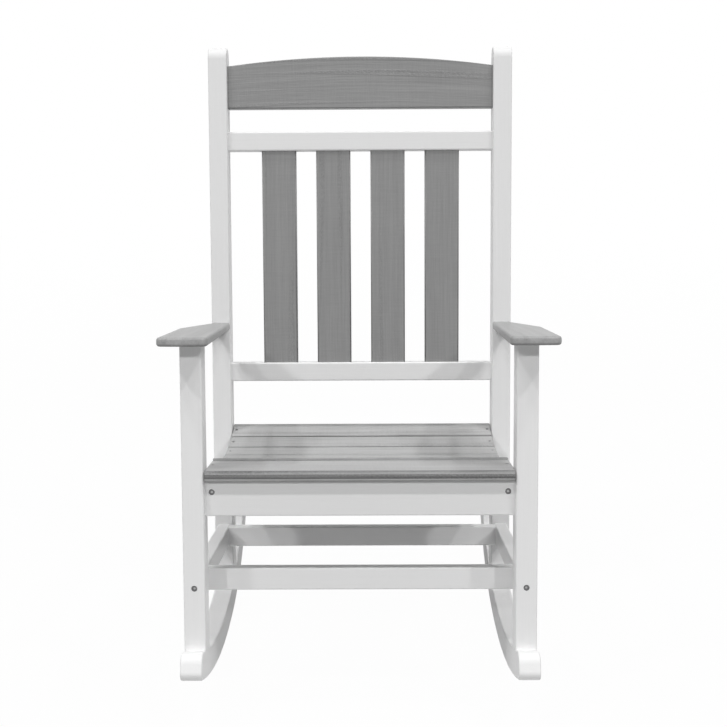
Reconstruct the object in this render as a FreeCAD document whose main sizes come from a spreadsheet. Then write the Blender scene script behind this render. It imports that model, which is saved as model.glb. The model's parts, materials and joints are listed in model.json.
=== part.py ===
import FreeCAD, Part
import Sketcher
import math
import os

os.makedirs("parts", exist_ok=True)
doc = FreeCAD.newDocument("PorchRocker")
V = FreeCAD.Vector

# Driving sizes in millimetres and degrees.
# X runs across the chair, Y from the front legs to the back posts, Z up the legs.
# The heights start at the lowest point of the rockers, the depths at the front faces of the legs.
sizes = {
    "frame_width": 615.0,
    "frame_thickness": 38.0,
    "leg_depth": 45.0,
    "post_depth": 45.0,
    "post_front": 417.0,
    "post_top": 1181.0,
    "edge_round": 3.0,
    "board_thickness": 25.0,
    "slat_thickness": 19.0,
    "slat_edge": 2.5,
    "rocker_radius": 900.0,
    "rocker_centre": 200.0,
    "rocker_depth": 48.0,
    "rocker_nose": -58.0,
    "rocker_nose_top_round": 20.0,
    "rocker_nose_bottom_round": 14.0,
    "tail_radius": 520.0,
    "tail_start": 425.0,
    "tail_angle": 50.0,
    "tail_round": 16.0,
    "arm_underside": 607.5,
    "arm_thickness": 15.5,
    "arm_front": -48.0,
    "arm_front_bulge": 5.0,
    "arm_inside_overhang": 17.5,
    "arm_outside_overhang": 31.0,
    "arm_flare": 6.5,
    "arm_rear_inset": 2.5,
    "arm_rear_gap": 0.5,
    "arm_kink": 230.0,
    "arm_edge": 5.0,
    "arm_front_corner": 10.0,
    "arm_kink_round": 45.0,
    "arm_rear_corner": 8.0,
    "seat_board_play": 0.5,
    "nose_front": -4.0,
    "nose_width": 114.0,
    "nose_underside": 370.0,
    "nose_edge": 5.0,
    "scoop_centre": 265.0,
    "scoop_rise": 480.0,
    "scoop_radius": 480.0,
    "seat_slat_width": 53.0,
    "seat_slat_step": 6.92,
    "seat_rear_angle": 20.05,
    "seat_slat_count": 6,
    "apron_setback": 10.0,
    "apron_height": 62.5,
    "rear_rail_front": 395.0,
    "rear_rail_height": 50.0,
    "stretcher_height": 40.0,
    "stretcher_bottom": 162.0,
    "front_stretcher_front": 62.0,
    "rear_stretcher_front": 388.0,
    "rail_depth": 30.0,
    "rail_height": 38.0,
    "lower_rail_bottom": 501.5,
    "upper_rail_bottom": 973.2,
    "crest_bottom": 1058.0,
    "crest_end_height": 85.2,
    "crest_rise": 18.3,
    "back_slat_width": 70.0,
    "back_slat_step": 111.0,
    "mortise_depth": 10.0,
    "mortise_play": 0.25,
    "slat_end_play": 1.0,
    "bolt_shank": 6.0,
    "bolt_head": 10.0,
    "bolt_head_height": 6.0,
    "bolt_socket": 5.0,
    "bolt_socket_depth": 3.0,
    "bolt_sink": 6.5,
    "bolt_play": 0.3,
    "bolt_past_nut": 8.0,
    "apron_bolt_drop": 20.0,
    "leg_bolt_height": 182.0,
    "nut_diameter": 10.0,
    "nut_length": 16.0,
    "nut_play": 0.1,
    "nut_distance": 45.0,
    "screw_shank": 5.0,
    "screw_head": 9.0,
    "screw_head_height": 3.5,
    "screw_socket": 3.5,
    "screw_socket_depth": 2.0,
    "screw_length": 60.0,
    "screw_play": 0.2,
    "screw_sink": 8.0,
    "screw_spacing": 20.0,
    "crest_screw_spacing": 48.0,
    "short_screw_length": 45.0,
    "arm_screw_length": 80.0,
    "seat_rail_screw_rise": 24.5,
    "seat_screw_shank": 4.0,
    "seat_screw_head": 7.0,
    "seat_screw_head_height": 2.5,
    "seat_screw_socket": 2.5,
    "seat_screw_socket_depth": 1.4,
    "seat_screw_length": 30.0,
    "seat_screw_sink": 3.3,
    "seat_screw_inset": 8.0,
    "nose_screw_back": 65.0,
    "lag_shank": 8.0,
    "lag_head": 13.0,
    "lag_head_height": 6.0,
    "lag_socket": 6.0,
    "lag_socket_depth": 3.5,
    "lag_length": 85.0,
    "lag_sink": 14.0,
    "dowel_diameter": 10.0,
    "dowel_length": 44.0,
    "dowel_in_arm": 9.0,
    "dowel_play": 0.1,
    "board_weight": 0.95,
    "steel_weight": 7.9,
}

sheet = doc.addObject("Spreadsheet::Sheet", "Sizes")
for row, (word, number) in enumerate(sizes.items(), start=1):
    sheet.set("A" + str(row), word)
    sheet.set("B" + str(row), str(number))
    sheet.setAlias("B" + str(row), word)
doc.recompute()


class Size:
    """A number together with the spreadsheet expression it comes from."""

    def __init__(self, number, text):
        self.number = number
        self.text = text

    def join(self, other, sign, number):
        return Size(number, "(" + self.text + " " + sign + " " + other.text + ")")

    def __add__(self, other):
        other = plain(other)
        return self.join(other, "+", self.number + other.number)

    def __radd__(self, other):
        return plain(other) + self

    def __sub__(self, other):
        other = plain(other)
        return self.join(other, "-", self.number - other.number)

    def __rsub__(self, other):
        return plain(other) - self

    def __mul__(self, other):
        other = plain(other)
        return self.join(other, "*", self.number * other.number)

    def __rmul__(self, other):
        return plain(other) * self

    def __truediv__(self, other):
        other = plain(other)
        return self.join(other, "/", self.number / other.number)

    def __neg__(self):
        return plain(-1.0) * self


def plain(value):
    if isinstance(value, Size):
        return value
    return Size(float(value), "(" + repr(float(value)) + ")")


def S(word):
    return Size(sizes[word], "Sizes." + word)


def sine(angle):
    return Size(math.sin(math.radians(angle.number)), "sin(" + angle.text + ")")


def cosine(angle):
    return Size(math.cos(math.radians(angle.number)), "cos(" + angle.text + ")")


def arcsine(value):
    return Size(math.degrees(math.asin(value.number)), "(asin(" + value.text + ") / 1deg)")


def root(value):
    return Size(math.sqrt(value.number), "sqrt(" + value.text + ")")


# Sketches lie on a body's own origin planes, pushed along the plane's normal by a level.
PLANES = {"X": ("YZ_Plane", 1), "Y": ("XZ_Plane", -1), "Z": ("XY_Plane", 1)}


def sketch_on(body, axis, level, word):
    role, sense = PLANES[axis]
    plane = [item for item in body.Origin.OriginFeatures if item.Role == role][0]
    sketch = body.newObject("Sketcher::SketchObject", body.Name + "_" + word)
    sketch.AttachmentSupport = [(plane, "")]
    sketch.MapMode = "FlatFace"
    level = plain(level) * sense
    sketch.AttachmentOffset = FreeCAD.Placement(V(0, 0, level.number), FreeCAD.Rotation())
    sketch.setExpression(".AttachmentOffset.Base.z", level.text)
    return sketch


def bind(sketch, kind, places, value):
    value = plain(value)
    index = sketch.addConstraint(Sketcher.Constraint(kind, *places, value.number))
    if "Sizes." in value.text:
        sketch.setExpression("Constraints[" + str(index) + "]", value.text)


def outline(sketch, corners, radii=None):
    # A closed run of corners; a radius gives an arc, positive with its centre left of the run.
    radii = radii or {}
    count = len(corners)
    spots = [(plain(u), plain(v)) for u, v in corners]
    ends = []
    for index in range(count):
        start = V(spots[index][0].number, spots[index][1].number, 0)
        stop = V(spots[(index + 1) % count][0].number, spots[(index + 1) % count][1].number, 0)
        if index not in radii:
            ends.append((sketch.addGeometry(Part.LineSegment(start, stop)), 1, 2))
            continue
        radius = plain(radii[index])
        size = abs(radius.number)
        chord = stop - start
        middle = (start + stop) * 0.5
        left = V(-chord.y, chord.x, 0).normalize()
        reach = math.sqrt(max(size * size - chord.Length ** 2 / 4.0, 0.0))
        centre = middle + left * reach * (1 if radius.number > 0 else -1)
        first, last = (start, stop) if radius.number > 0 else (stop, start)
        begin = math.atan2(first.y - centre.y, first.x - centre.x)
        finish = math.atan2(last.y - centre.y, last.x - centre.x)
        circle = Part.Circle(centre, V(0, 0, 1), size)
        geometry = sketch.addGeometry(Part.ArcOfCircle(circle, begin, finish))
        ends.append((geometry, 1, 2) if radius.number > 0 else (geometry, 2, 1))
    for index in range(count):
        here = ends[index]
        following = ends[(index + 1) % count]
        sketch.addConstraint(Sketcher.Constraint("Coincident", here[0], here[2], following[0], following[1]))
    for index in range(count):
        geometry, start, stop = ends[index]
        bind(sketch, "DistanceX", (-1, 1, geometry, start), spots[index][0])
        bind(sketch, "DistanceY", (-1, 1, geometry, start), spots[index][1])
        if index in radii:
            radius = plain(radii[index])
            bind(sketch, "Radius", (geometry,), radius if radius.number > 0 else -radius)


def new_body(name):
    body = doc.addObject("PartDesign::Body", name)
    body.Label = name
    return body


def pad(body, sketch, length, both_ways=False):
    length = plain(length)
    feature = body.newObject("PartDesign::Pad", body.Name + "_pad")
    feature.Profile = sketch
    feature.SideType = "Symmetric" if both_ways else "One side"
    feature.Length = length.number
    feature.setExpression("Length", length.text)
    sketch.Visibility = False
    doc.recompute()
    return feature


def board(name, axis, across, up, length):
    # A straight board about its own middle, with its length along the axis.
    body = new_body(name)
    sketch = sketch_on(body, axis, 0.0, "section")
    across = plain(across) / 2.0
    up = plain(up) / 2.0
    outline(sketch, [(-across, -up), (across, -up), (across, up), (-across, up)])
    pad(body, sketch, length, both_ways=True)
    return body


def rounded(body, radius, chosen, word="rounding"):
    # The edges that the test picks out get a rounding of one radius.
    radius = plain(radius)
    base = body.Tip
    names = []
    for index, edge in enumerate(base.Shape.Edges, start=1):
        if chosen(edge):
            names.append("Edge" + str(index))
    feature = body.newObject("PartDesign::Fillet", body.Name + "_" + word)
    feature.Base = (base, names)
    feature.Radius = radius.number
    feature.setExpression("Radius", radius.text)
    doc.recompute()
    return feature


def along(axis):
    direction = {"X": V(1, 0, 0), "Y": V(0, 1, 0), "Z": V(0, 0, 1)}[axis]

    def chosen(edge):
        if edge.Curve.TypeId != "Part::GeomLine":
            return False
        return abs(edge.tangentAt(edge.FirstParameter).dot(direction)) > 0.9999

    return chosen


def near(edge, *spots):
    middle = edge.valueAt((edge.FirstParameter + edge.LastParameter) / 2.0)
    return any(abs(middle.y - y) < 0.5 and abs(middle.z - z) < 0.5 for y, z in spots)


def cut(body, sketch, axis, depth, sign, expected):
    depth = plain(depth)
    before = body.Tip.Shape.Volume
    feature = body.newObject("PartDesign::Pocket", sketch.Name + "_cut")
    feature.Profile = sketch
    feature.Type = "Length"
    feature.Length = depth.number
    feature.setExpression("Length", depth.text)
    feature.Reversed = sign == PLANES[axis][1]
    sketch.Visibility = False
    doc.recompute()
    taken = before - feature.Shape.Volume
    if not 0.3 * expected < taken < 1.001 * expected:
        raise RuntimeError(sketch.Name + " took " + str(round(taken)) + " of " + str(round(expected)))
    return feature


def bores(body, word, axis, level, spots, diameter, depth, sign):
    # Round holes in one direction, from a level of the axis toward its plus or minus end.
    sketch = sketch_on(body, axis, level, word)
    radius = plain(diameter) / 2.0
    for u, v in spots:
        u = plain(u)
        v = plain(v)
        circle = sketch.addGeometry(Part.Circle(V(u.number, v.number, 0), V(0, 0, 1), radius.number))
        bind(sketch, "DistanceX", (-1, 1, circle, 3), u)
        bind(sketch, "DistanceY", (-1, 1, circle, 3), v)
        bind(sketch, "Radius", (circle,), radius)
    expected = len(spots) * math.pi * radius.number ** 2 * plain(depth).number
    return cut(body, sketch, axis, depth, sign, expected)


def slots(body, word, axis, level, centres, across, up, depth, sign):
    # Square-cornered mortises in one direction.
    expected = 0.0
    for index, (u, v) in enumerate(centres, start=1):
        sketch = sketch_on(body, axis, level, word + "_" + str(index))
        half = plain(across) / 2.0
        rise = plain(up) / 2.0
        u = plain(u)
        v = plain(v)
        outline(sketch, [(u - half, v - rise), (u + half, v - rise), (u + half, v + rise), (u - half, v + rise)])
        expected = plain(across).number * plain(up).number * plain(depth).number
        cut(body, sketch, axis, depth, sign, expected)


def moved(body, x, y, z, turn=0.0):
    x = plain(x)
    y = plain(y)
    z = plain(z)
    body.Placement = FreeCAD.Placement(V(x.number, y.number, z.number), FreeCAD.Rotation(V(1, 0, 0), turn))
    return body


# Planes and heights that several boards share
half_frame = S("frame_width") / 2.0
inner = half_frame - S("frame_thickness")
middle = half_frame - S("frame_thickness") / 2.0
post_back = S("post_front") + S("post_depth")
post_middle = S("post_front") + S("post_depth") / 2.0
rail_under = S("nose_underside") - S("apron_height")
scoop_up = S("nose_underside") + S("scoop_rise")
seat_board_length = (inner - S("seat_board_play")) * 2.0
apron_bolt_up = S("nose_underside") - S("apron_bolt_drop")
SIDES = (("left", -1), ("right", 1))

# Bottom curve of a rocker: a long arc below the seat and a tighter one for the tail
top_radius = S("rocker_radius") - S("rocker_depth")
tail_top_radius = S("tail_radius") - S("rocker_depth")
start_angle = arcsine((S("tail_start") - S("rocker_centre")) / S("rocker_radius"))
nose_angle = arcsine((S("rocker_nose") - S("rocker_centre")) / S("rocker_radius"))
tail_centre_back = S("rocker_centre") + (S("rocker_radius") - S("tail_radius")) * sine(start_angle)
tail_centre_up = S("rocker_radius") - (S("rocker_radius") - S("tail_radius")) * cosine(start_angle)


def main_arc(radius, angle):
    return (S("rocker_centre") + radius * sine(angle), S("rocker_radius") - radius * cosine(angle))


def tail_arc(radius, angle):
    return (tail_centre_back + radius * sine(angle), tail_centre_up - radius * cosine(angle))


top_seam = main_arc(top_radius, start_angle)[0]


def rocker_top_at(back):
    back = plain(back)
    if back.number < top_seam.number:
        reach = back - S("rocker_centre")
        return S("rocker_radius") - root(top_radius * top_radius - reach * reach)
    reach = back - tail_centre_back
    return tail_centre_up - root(tail_top_radius * tail_top_radius - reach * reach)


def upright(name, side, corners, radii, thickness, inside):
    # A board cut to an outline in the side view, between two planes across the chair.
    body = new_body(name)
    level = inside if side > 0 else -(inside + thickness)
    sketch = sketch_on(body, "X", level, "outline")
    outline(sketch, corners, radii)
    pad(body, sketch, thickness)
    return body


def face_edges(edge):
    box = edge.BoundBox
    return box.XLength < 0.01


nodes = {}

# Rockers
rocker_corners = [
    main_arc(S("rocker_radius"), nose_angle),
    main_arc(S("rocker_radius"), start_angle),
    tail_arc(S("tail_radius"), S("tail_angle")),
    tail_arc(tail_top_radius, S("tail_angle")),
    tail_arc(tail_top_radius, start_angle),
    main_arc(top_radius, nose_angle),
]
rocker_radii = {0: S("rocker_radius"), 1: S("tail_radius"), 3: -tail_top_radius, 4: -top_radius}
lag_front = S("leg_depth") / 2.0
lag_rear = post_middle
for word, side in SIDES:
    body = upright("rocker_" + word, side, rocker_corners, rocker_radii, S("frame_thickness"), inner)
    spots = [(u.number, v.number) for u, v in rocker_corners]
    rounded(body, S("rocker_nose_bottom_round"), lambda edge: near(edge, spots[0]), "nose_below")
    rounded(body, S("rocker_nose_top_round"), lambda edge: near(edge, spots[5]), "nose_above")
    rounded(body, S("tail_round"), lambda edge: near(edge, spots[2], spots[3]), "tail")
    rounded(body, S("edge_round"), face_edges, "edges")
    nodes[body.Label] = body

# Front legs, coped onto the rockers
leg_corners = [
    (plain(0.0), rocker_top_at(plain(0.0))),
    (S("leg_depth"), rocker_top_at(S("leg_depth"))),
    (S("leg_depth"), S("arm_underside")),
    (plain(0.0), S("arm_underside")),
]
for word, side in SIDES:
    body = upright("front_leg_" + word, side, leg_corners, {0: top_radius}, S("frame_thickness"), inner)
    rounded(body, S("edge_round"), along("Z"), "edges")
    nodes[body.Label] = body

# Back posts, coped onto the rockers and half round at the top
post_corners = [
    (S("post_front"), rocker_top_at(S("post_front"))),
    (post_back, rocker_top_at(post_back)),
    (post_back, S("post_top") - S("post_depth") / 2.0),
    (post_middle, S("post_top")),
    (S("post_front"), S("post_top") - S("post_depth") / 2.0),
]
post_radii = {0: tail_top_radius, 2: S("post_depth") / 2.0, 3: S("post_depth") / 2.0}


def post_edges(edge):
    box = edge.BoundBox
    return box.XLength < 0.01 and box.ZMax > sizes["post_top"] / 2.0


for word, side in SIDES:
    body = upright("back_post_" + word, side, post_corners, post_radii, S("frame_thickness"), inner)
    rounded(body, S("edge_round"), post_edges, "edges")
    nodes[body.Label] = body

# Side seat rails: a flat for the nose board, then one flat for each slat of the scoop
rest_radius = S("scoop_radius") + S("slat_thickness")
rail_front = S("apron_setback") + S("board_thickness")
nose_back = S("nose_front") + S("nose_width")
angles = [S("seat_rear_angle") - S("seat_slat_step") * float(index) for index in range(int(sizes["seat_slat_count"]))]
half_step = S("seat_slat_step") / 2.0


def rest_line(angle, back):
    # Height of the flat below one slat at a given depth
    away = (back - S("scoop_centre") - rest_radius * sine(angle)) / cosine(angle)
    return scoop_up - rest_radius * cosine(angle) + away * sine(angle)


seat_rail_corners = [
    (rail_front, rail_under),
    (post_back, rail_under),
    (post_back, rest_line(angles[0], post_back)),
]
for angle in angles[:-1]:
    far = rest_radius / cosine(half_step)
    turn = angle - half_step
    seat_rail_corners.append((S("scoop_centre") + far * sine(turn), scoop_up - far * cosine(turn)))
step_back = nose_back + 2.0
seat_rail_corners += [
    (step_back, rest_line(angles[-1], step_back)),
    (step_back, S("nose_underside")),
    (rail_front, S("nose_underside")),
]
seat_rail_inside = inner - S("board_thickness")
for word, side in SIDES:
    body = upright("seat_rail_" + word, side, seat_rail_corners, {}, S("board_thickness"), seat_rail_inside)
    nodes[body.Label] = body

# Arms
arm_inside = inner - S("arm_inside_overhang")
arm_outside = half_frame + S("arm_outside_overhang")
front_half = (arm_outside - arm_inside) / 2.0
front_radius = (front_half * front_half + S("arm_front_bulge") * S("arm_front_bulge")) / (S("arm_front_bulge") * 2.0)
arm_corners = [
    (arm_inside, S("arm_front")),
    (arm_outside, S("arm_front")),
    (arm_outside + S("arm_flare"), S("arm_kink")),
    (half_frame - S("arm_rear_inset"), S("post_front")),
    (inner + S("arm_rear_gap"), S("post_front")),
]


def flat_near(edge, *spots):
    centre = edge.valueAt((edge.FirstParameter + edge.LastParameter) / 2.0)
    return any(abs(abs(centre.x) - x) < 0.5 and abs(centre.y - y) < 0.5 for x, y in spots)


def arm_edges(edge):
    box = edge.BoundBox
    return box.ZLength < 0.01 and box.YMin < sizes["post_front"] - 1.0


for word, side in SIDES:
    body = new_body("arm_" + word)
    sketch = sketch_on(body, "Z", S("arm_underside"), "outline")
    if side > 0:
        outline(sketch, arm_corners, {0: front_radius})
    else:
        outline(sketch, [(-u, v) for u, v in arm_corners], {0: -front_radius})
    pad(body, sketch, S("arm_thickness"))
    spots = [(u.number, v.number) for u, v in arm_corners]
    rounded(body, S("arm_front_corner"), lambda edge: flat_near(edge, spots[0], spots[1]), "front_corners")
    rounded(body, S("arm_kink_round"), lambda edge: flat_near(edge, spots[2]), "kink")
    rounded(body, S("arm_rear_corner"), lambda edge: flat_near(edge, spots[4]), "rear_corner")
    rounded(body, S("arm_edge"), arm_edges, "edges")
    nodes[body.Label] = body

# Seat boards
nose_middle = S("nose_front") + S("nose_width") / 2.0
body = board("seat_nose_slat", "X", S("nose_width"), S("slat_thickness"), seat_board_length)
rounded(body, S("nose_edge"), along("X"), "edges")
rounded(body, S("slat_edge"), lambda edge: edge.BoundBox.XLength < 0.01, "ends")
nose_place = (plain(0.0), nose_middle, S("nose_underside") + S("slat_thickness") / 2.0)
nodes[body.Label] = moved(body, *nose_place)
slat_places = []
for index, angle in enumerate(angles):
    name = "seat_slat_" + str(len(angles) + 1 - index)
    body = board(name, "X", S("seat_slat_width"), S("slat_thickness"), seat_board_length)
    rounded(body, S("slat_edge"), lambda edge: True, "edges")
    centre_radius = S("scoop_radius") + S("slat_thickness") / 2.0
    back = S("scoop_centre") + centre_radius * sine(angle)
    up = scoop_up - centre_radius * cosine(angle)
    nodes[body.Label] = moved(body, 0.0, back, up, angle.number)
    slat_places.append((body, back, up, angle))

# Boards between the legs and posts
apron_middle = S("apron_setback") + S("board_thickness") / 2.0
apron_up = S("nose_underside") - S("apron_height") / 2.0
body = board("front_apron", "X", S("board_thickness"), S("apron_height"), inner * 2.0)
rounded(body, S("edge_round"), along("X"), "edges")
nodes[body.Label] = moved(body, 0.0, apron_middle, apron_up)

rear_rail_middle = S("rear_rail_front") + S("board_thickness") / 2.0
rear_rail_up = rail_under + S("rear_rail_height") / 2.0
body = board("rear_seat_rail", "X", S("board_thickness"), S("rear_rail_height"), seat_rail_inside * 2.0)
rounded(body, S("edge_round"), along("X"), "edges")
nodes[body.Label] = moved(body, 0.0, rear_rail_middle, rear_rail_up)

stretcher_up = S("stretcher_bottom") + S("stretcher_height") / 2.0
side_length = S("post_front") - S("leg_depth")
for word, side in SIDES:
    body = board("side_stretcher_" + word, "Y", S("board_thickness"), S("stretcher_height"), side_length)
    rounded(body, S("edge_round"), along("Y"), "edges")
    nodes[body.Label] = moved(body, middle * float(side), S("leg_depth") + side_length / 2.0, stretcher_up)

stretcher_inside = middle - S("board_thickness") / 2.0
for name, front in (("front_stretcher", "front_stretcher_front"), ("rear_stretcher", "rear_stretcher_front")):
    body = board(name, "X", S("board_thickness"), S("stretcher_height"), stretcher_inside * 2.0)
    rounded(body, S("edge_round"), along("X"), "edges")
    nodes[body.Label] = moved(body, 0.0, S(front) + S("board_thickness") / 2.0, stretcher_up)

for name, bottom in (("lower_back_rail", "lower_rail_bottom"), ("upper_back_rail", "upper_rail_bottom")):
    body = board(name, "X", S("rail_depth"), S("rail_height"), inner * 2.0)
    rounded(body, S("edge_round"), along("X"), "edges")
    nodes[body.Label] = moved(body, 0.0, post_middle, S(bottom) + S("rail_height") / 2.0)

# Crest rail with its arched top
crest_end = S("crest_bottom") + S("crest_end_height")
crest_radius = (inner * inner + S("crest_rise") * S("crest_rise")) / (S("crest_rise") * 2.0)
body = new_body("crest_rail")
sketch = sketch_on(body, "Y", post_middle + S("board_thickness") / 2.0, "outline")
crest_corners = [
    (-inner, S("crest_bottom")),
    (inner, S("crest_bottom")),
    (inner, crest_end),
    (-inner, crest_end),
]
outline(sketch, crest_corners, {2: crest_radius})
pad(body, sketch, S("board_thickness"))
rounded(body, S("edge_round"), lambda edge: edge.BoundBox.XLength > 1.0, "edges")
nodes[body.Label] = body

# Back slats, standing in mortises of the two rails
slat_foot = S("lower_rail_bottom") + S("rail_height") - S("mortise_depth")
slat_head = S("upper_rail_bottom") + S("mortise_depth") - S("slat_end_play")
slat_length = slat_head - slat_foot
slat_columns = [S("back_slat_step") * (index - 1.5) for index in range(4)]
for index, column in enumerate(slat_columns, start=1):
    name = "back_slat_" + str(index)
    body = board(name, "Z", S("back_slat_width"), S("slat_thickness"), slat_length)
    rounded(body, S("slat_edge"), along("Z"), "edges")
    nodes[body.Label] = moved(body, column, post_middle, slat_foot + slat_length / 2.0)
mortise_across = S("back_slat_width") + S("mortise_play") * 2.0
mortise_deep = S("slat_thickness") + S("mortise_play") * 2.0
centres = [(column, 0.0) for column in slat_columns]
rail_half = S("rail_height") / 2.0
slots(nodes["lower_back_rail"], "mortise", "Z", rail_half, centres, mortise_across, mortise_deep, S("mortise_depth"), -1)
slots(nodes["upper_back_rail"], "mortise", "Z", -rail_half, centres, mortise_across, mortise_deep, S("mortise_depth"), 1)

# Fasteners are drawn once about their own axis: head up from zero, shank down.


def fastener(name, shank, head, head_height, length, socket, socket_depth):
    body = new_body(name)
    ease = plain(0.6)
    sketch = sketch_on(body, "Y", 0.0, "profile")
    shank = plain(shank) / 2.0
    head = plain(head) / 2.0
    outline(sketch, [
        (plain(0.0), -length),
        (shank - ease, -length),
        (shank, -length + ease),
        (shank, plain(0.0)),
        (head, plain(0.0)),
        (head, head_height - ease),
        (head - ease, head_height),
        (plain(0.0), head_height),
    ])
    feature = body.newObject("PartDesign::Revolution", name + "_turned")
    feature.Profile = sketch
    feature.ReferenceAxis = (sketch, ["V_Axis"])
    feature.Angle = 360.0
    sketch.Visibility = False
    doc.recompute()
    hexagon = sketch_on(body, "Z", head_height, "socket")
    reach = plain(socket) / (2.0 * math.cos(math.pi / 6.0))
    corners = [(reach * math.cos(k * math.pi / 3.0), reach * math.sin(k * math.pi / 3.0)) for k in range(6)]
    outline(hexagon, corners)
    area = 6.0 * 0.5 * reach.number ** 2 * math.sin(math.pi / 3.0)
    cut(body, hexagon, "Z", socket_depth, -1, area * plain(socket_depth).number)
    return body


def barrel(name):
    # A cross dowel along Z with the bolt's way through its middle along Y.
    body = new_body(name)
    sketch = sketch_on(body, "Z", 0.0, "round")
    circle = sketch.addGeometry(Part.Circle(V(0, 0, 0), V(0, 0, 1), sizes["nut_diameter"] / 2.0))
    sketch.addConstraint(Sketcher.Constraint("Coincident", circle, 3, -1, 1))
    bind(sketch, "Radius", (circle,), S("nut_diameter") / 2.0)
    pad(body, sketch, S("nut_length"), both_ways=True)
    width = S("bolt_shank") + S("nut_play")
    way = sketch_on(body, "Y", -S("nut_diameter"), "way")
    ring = way.addGeometry(Part.Circle(V(0, 0, 0), V(0, 0, 1), width.number / 2.0))
    way.addConstraint(Sketcher.Constraint("Coincident", ring, 3, -1, 1))
    bind(way, "Radius", (ring,), width / 2.0)
    expected = math.pi * (width.number / 2.0) ** 2 * sizes["nut_diameter"] * 2.0
    cut(body, way, "Y", S("nut_diameter") * 2.0, 1, expected)
    return body


def pin(name, diameter, length):
    body = new_body(name)
    sketch = sketch_on(body, "Z", 0.0, "round")
    circle = sketch.addGeometry(Part.Circle(V(0, 0, 0), V(0, 0, 1), plain(diameter).number / 2.0))
    sketch.addConstraint(Sketcher.Constraint("Coincident", circle, 3, -1, 1))
    bind(sketch, "Radius", (circle,), plain(diameter) / 2.0)
    pad(body, sketch, length)
    return body


def placed(template, spots):
    # Copies of one fastener: where its head seats and which way the head faces.
    copies = []
    for spot, facing in spots:
        turn = FreeCAD.Rotation(V(0, 0, 1), facing)
        copy = template.Shape.copy()
        copy.Placement = FreeCAD.Placement(spot, turn)
        copies.append(copy)
    return copies


groups = {}


def group(name, copies):
    groups.setdefault(name, []).extend(copies)


def at(x, y, z):
    return V(plain(x).number, plain(y).number, plain(z).number)


bolt_hole = S("bolt_shank") + S("bolt_play")
bolt_recess = S("bolt_head") + S("bolt_play") * 2.0
nut_hole = S("nut_diameter") + S("nut_play") * 2.0
screw_hole = S("screw_shank") + S("screw_play")
screw_recess = S("screw_head") + S("screw_play") * 2.0
through_leg = S("leg_depth") + S("nut_distance") + S("bolt_past_nut") - S("bolt_sink")
through_apron = S("board_thickness") + S("nut_distance") + S("bolt_past_nut") - S("bolt_sink")

bolt_sizes = (S("bolt_shank"), S("bolt_head"), S("bolt_head_height"))
bolt_socket = (S("bolt_socket"), S("bolt_socket_depth"))
long_bolt = fastener("long_bolt", *bolt_sizes, through_leg, *bolt_socket)
apron_bolt = fastener("apron_bolt", *bolt_sizes, through_apron, *bolt_socket)
barrel_nut = barrel("barrel_nut")

# Bolts through the legs and posts into the side stretchers
stretcher_half = side_length / 2.0
for word, side in SIDES:
    x = middle * float(side)
    leg = nodes["front_leg_" + word]
    bores(leg, "bolt_recess", "Y", 0.0, [(x, S("leg_bolt_height"))], bolt_recess, S("bolt_sink"), 1)
    rest = S("leg_depth") - S("bolt_sink")
    bores(leg, "bolt_way", "Y", S("bolt_sink"), [(x, S("leg_bolt_height"))], bolt_hole, rest, 1)
    post = nodes["back_post_" + word]
    bores(post, "bolt_recess", "Y", post_back, [(x, S("leg_bolt_height"))], bolt_recess, S("bolt_sink"), -1)
    rest = S("post_depth") - S("bolt_sink")
    bores(post, "bolt_way", "Y", post_back - S("bolt_sink"), [(x, S("leg_bolt_height"))], bolt_hole, rest, -1)
    rail = nodes["side_stretcher_" + word]
    deep = S("nut_distance") + S("bolt_past_nut") + 1.0
    lift = S("leg_bolt_height") - stretcher_up
    bores(rail, "bolt_way_front", "Y", -stretcher_half, [(0.0, lift)], bolt_hole, deep, 1)
    bores(rail, "bolt_way_rear", "Y", stretcher_half, [(0.0, lift)], bolt_hole, deep, -1)
    reach = stretcher_half - S("nut_distance")
    rise = lift + S("stretcher_height") / 2.0 + S("nut_length") / 2.0
    bores(rail, "nut_ways", "Z", -S("stretcher_height") / 2.0, [(0.0, -reach), (0.0, reach)], nut_hole, rise, 1)
    group("leg_bolts", placed(long_bolt, [(at(x, S("bolt_sink"), S("leg_bolt_height")), V(0, -1, 0))]))
    spot = at(x, post_back - S("bolt_sink"), S("leg_bolt_height"))
    group("post_bolts", placed(long_bolt, [(spot, V(0, 1, 0))]))
    near_nut = at(x, S("leg_depth") + S("nut_distance"), S("leg_bolt_height"))
    far_nut = at(x, S("post_front") - S("nut_distance"), S("leg_bolt_height"))
    group("barrel_nuts", placed(barrel_nut, [(near_nut, V(0, 0, 1)), (far_nut, V(0, 0, 1))]))

# Bolts through the apron into the side seat rails
apron = nodes["front_apron"]
bolt_x = inner - S("board_thickness") / 2.0
apron_lift = apron_bolt_up - apron_up
apron_face = S("board_thickness") / 2.0
ends = [(-bolt_x, apron_lift), (bolt_x, apron_lift)]
bores(apron, "bolt_recess", "Y", -apron_face, ends, bolt_recess, S("bolt_sink"), 1)
rest = S("board_thickness") - S("bolt_sink")
bores(apron, "bolt_way", "Y", -apron_face + S("bolt_sink"), ends, bolt_hole, rest, 1)
for word, side in SIDES:
    x = bolt_x * float(side)
    rail = nodes["seat_rail_" + word]
    deep = S("nut_distance") + S("bolt_past_nut") + 1.0
    bores(rail, "bolt_way", "Y", rail_front, [(x, apron_bolt_up)], bolt_hole, deep, 1)
    rise = apron_bolt_up - rail_under + S("nut_length") / 2.0
    nut_back = rail_front + S("nut_distance")
    bores(rail, "nut_way", "Z", rail_under, [(x, nut_back)], nut_hole, rise, 1)
    spot = at(x, S("apron_setback") + S("bolt_sink"), apron_bolt_up)
    group("apron_bolts", placed(apron_bolt, [(spot, V(0, -1, 0))]))
    group("barrel_nuts", placed(barrel_nut, [(at(x, nut_back, apron_bolt_up), V(0, 0, 1))]))

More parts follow.
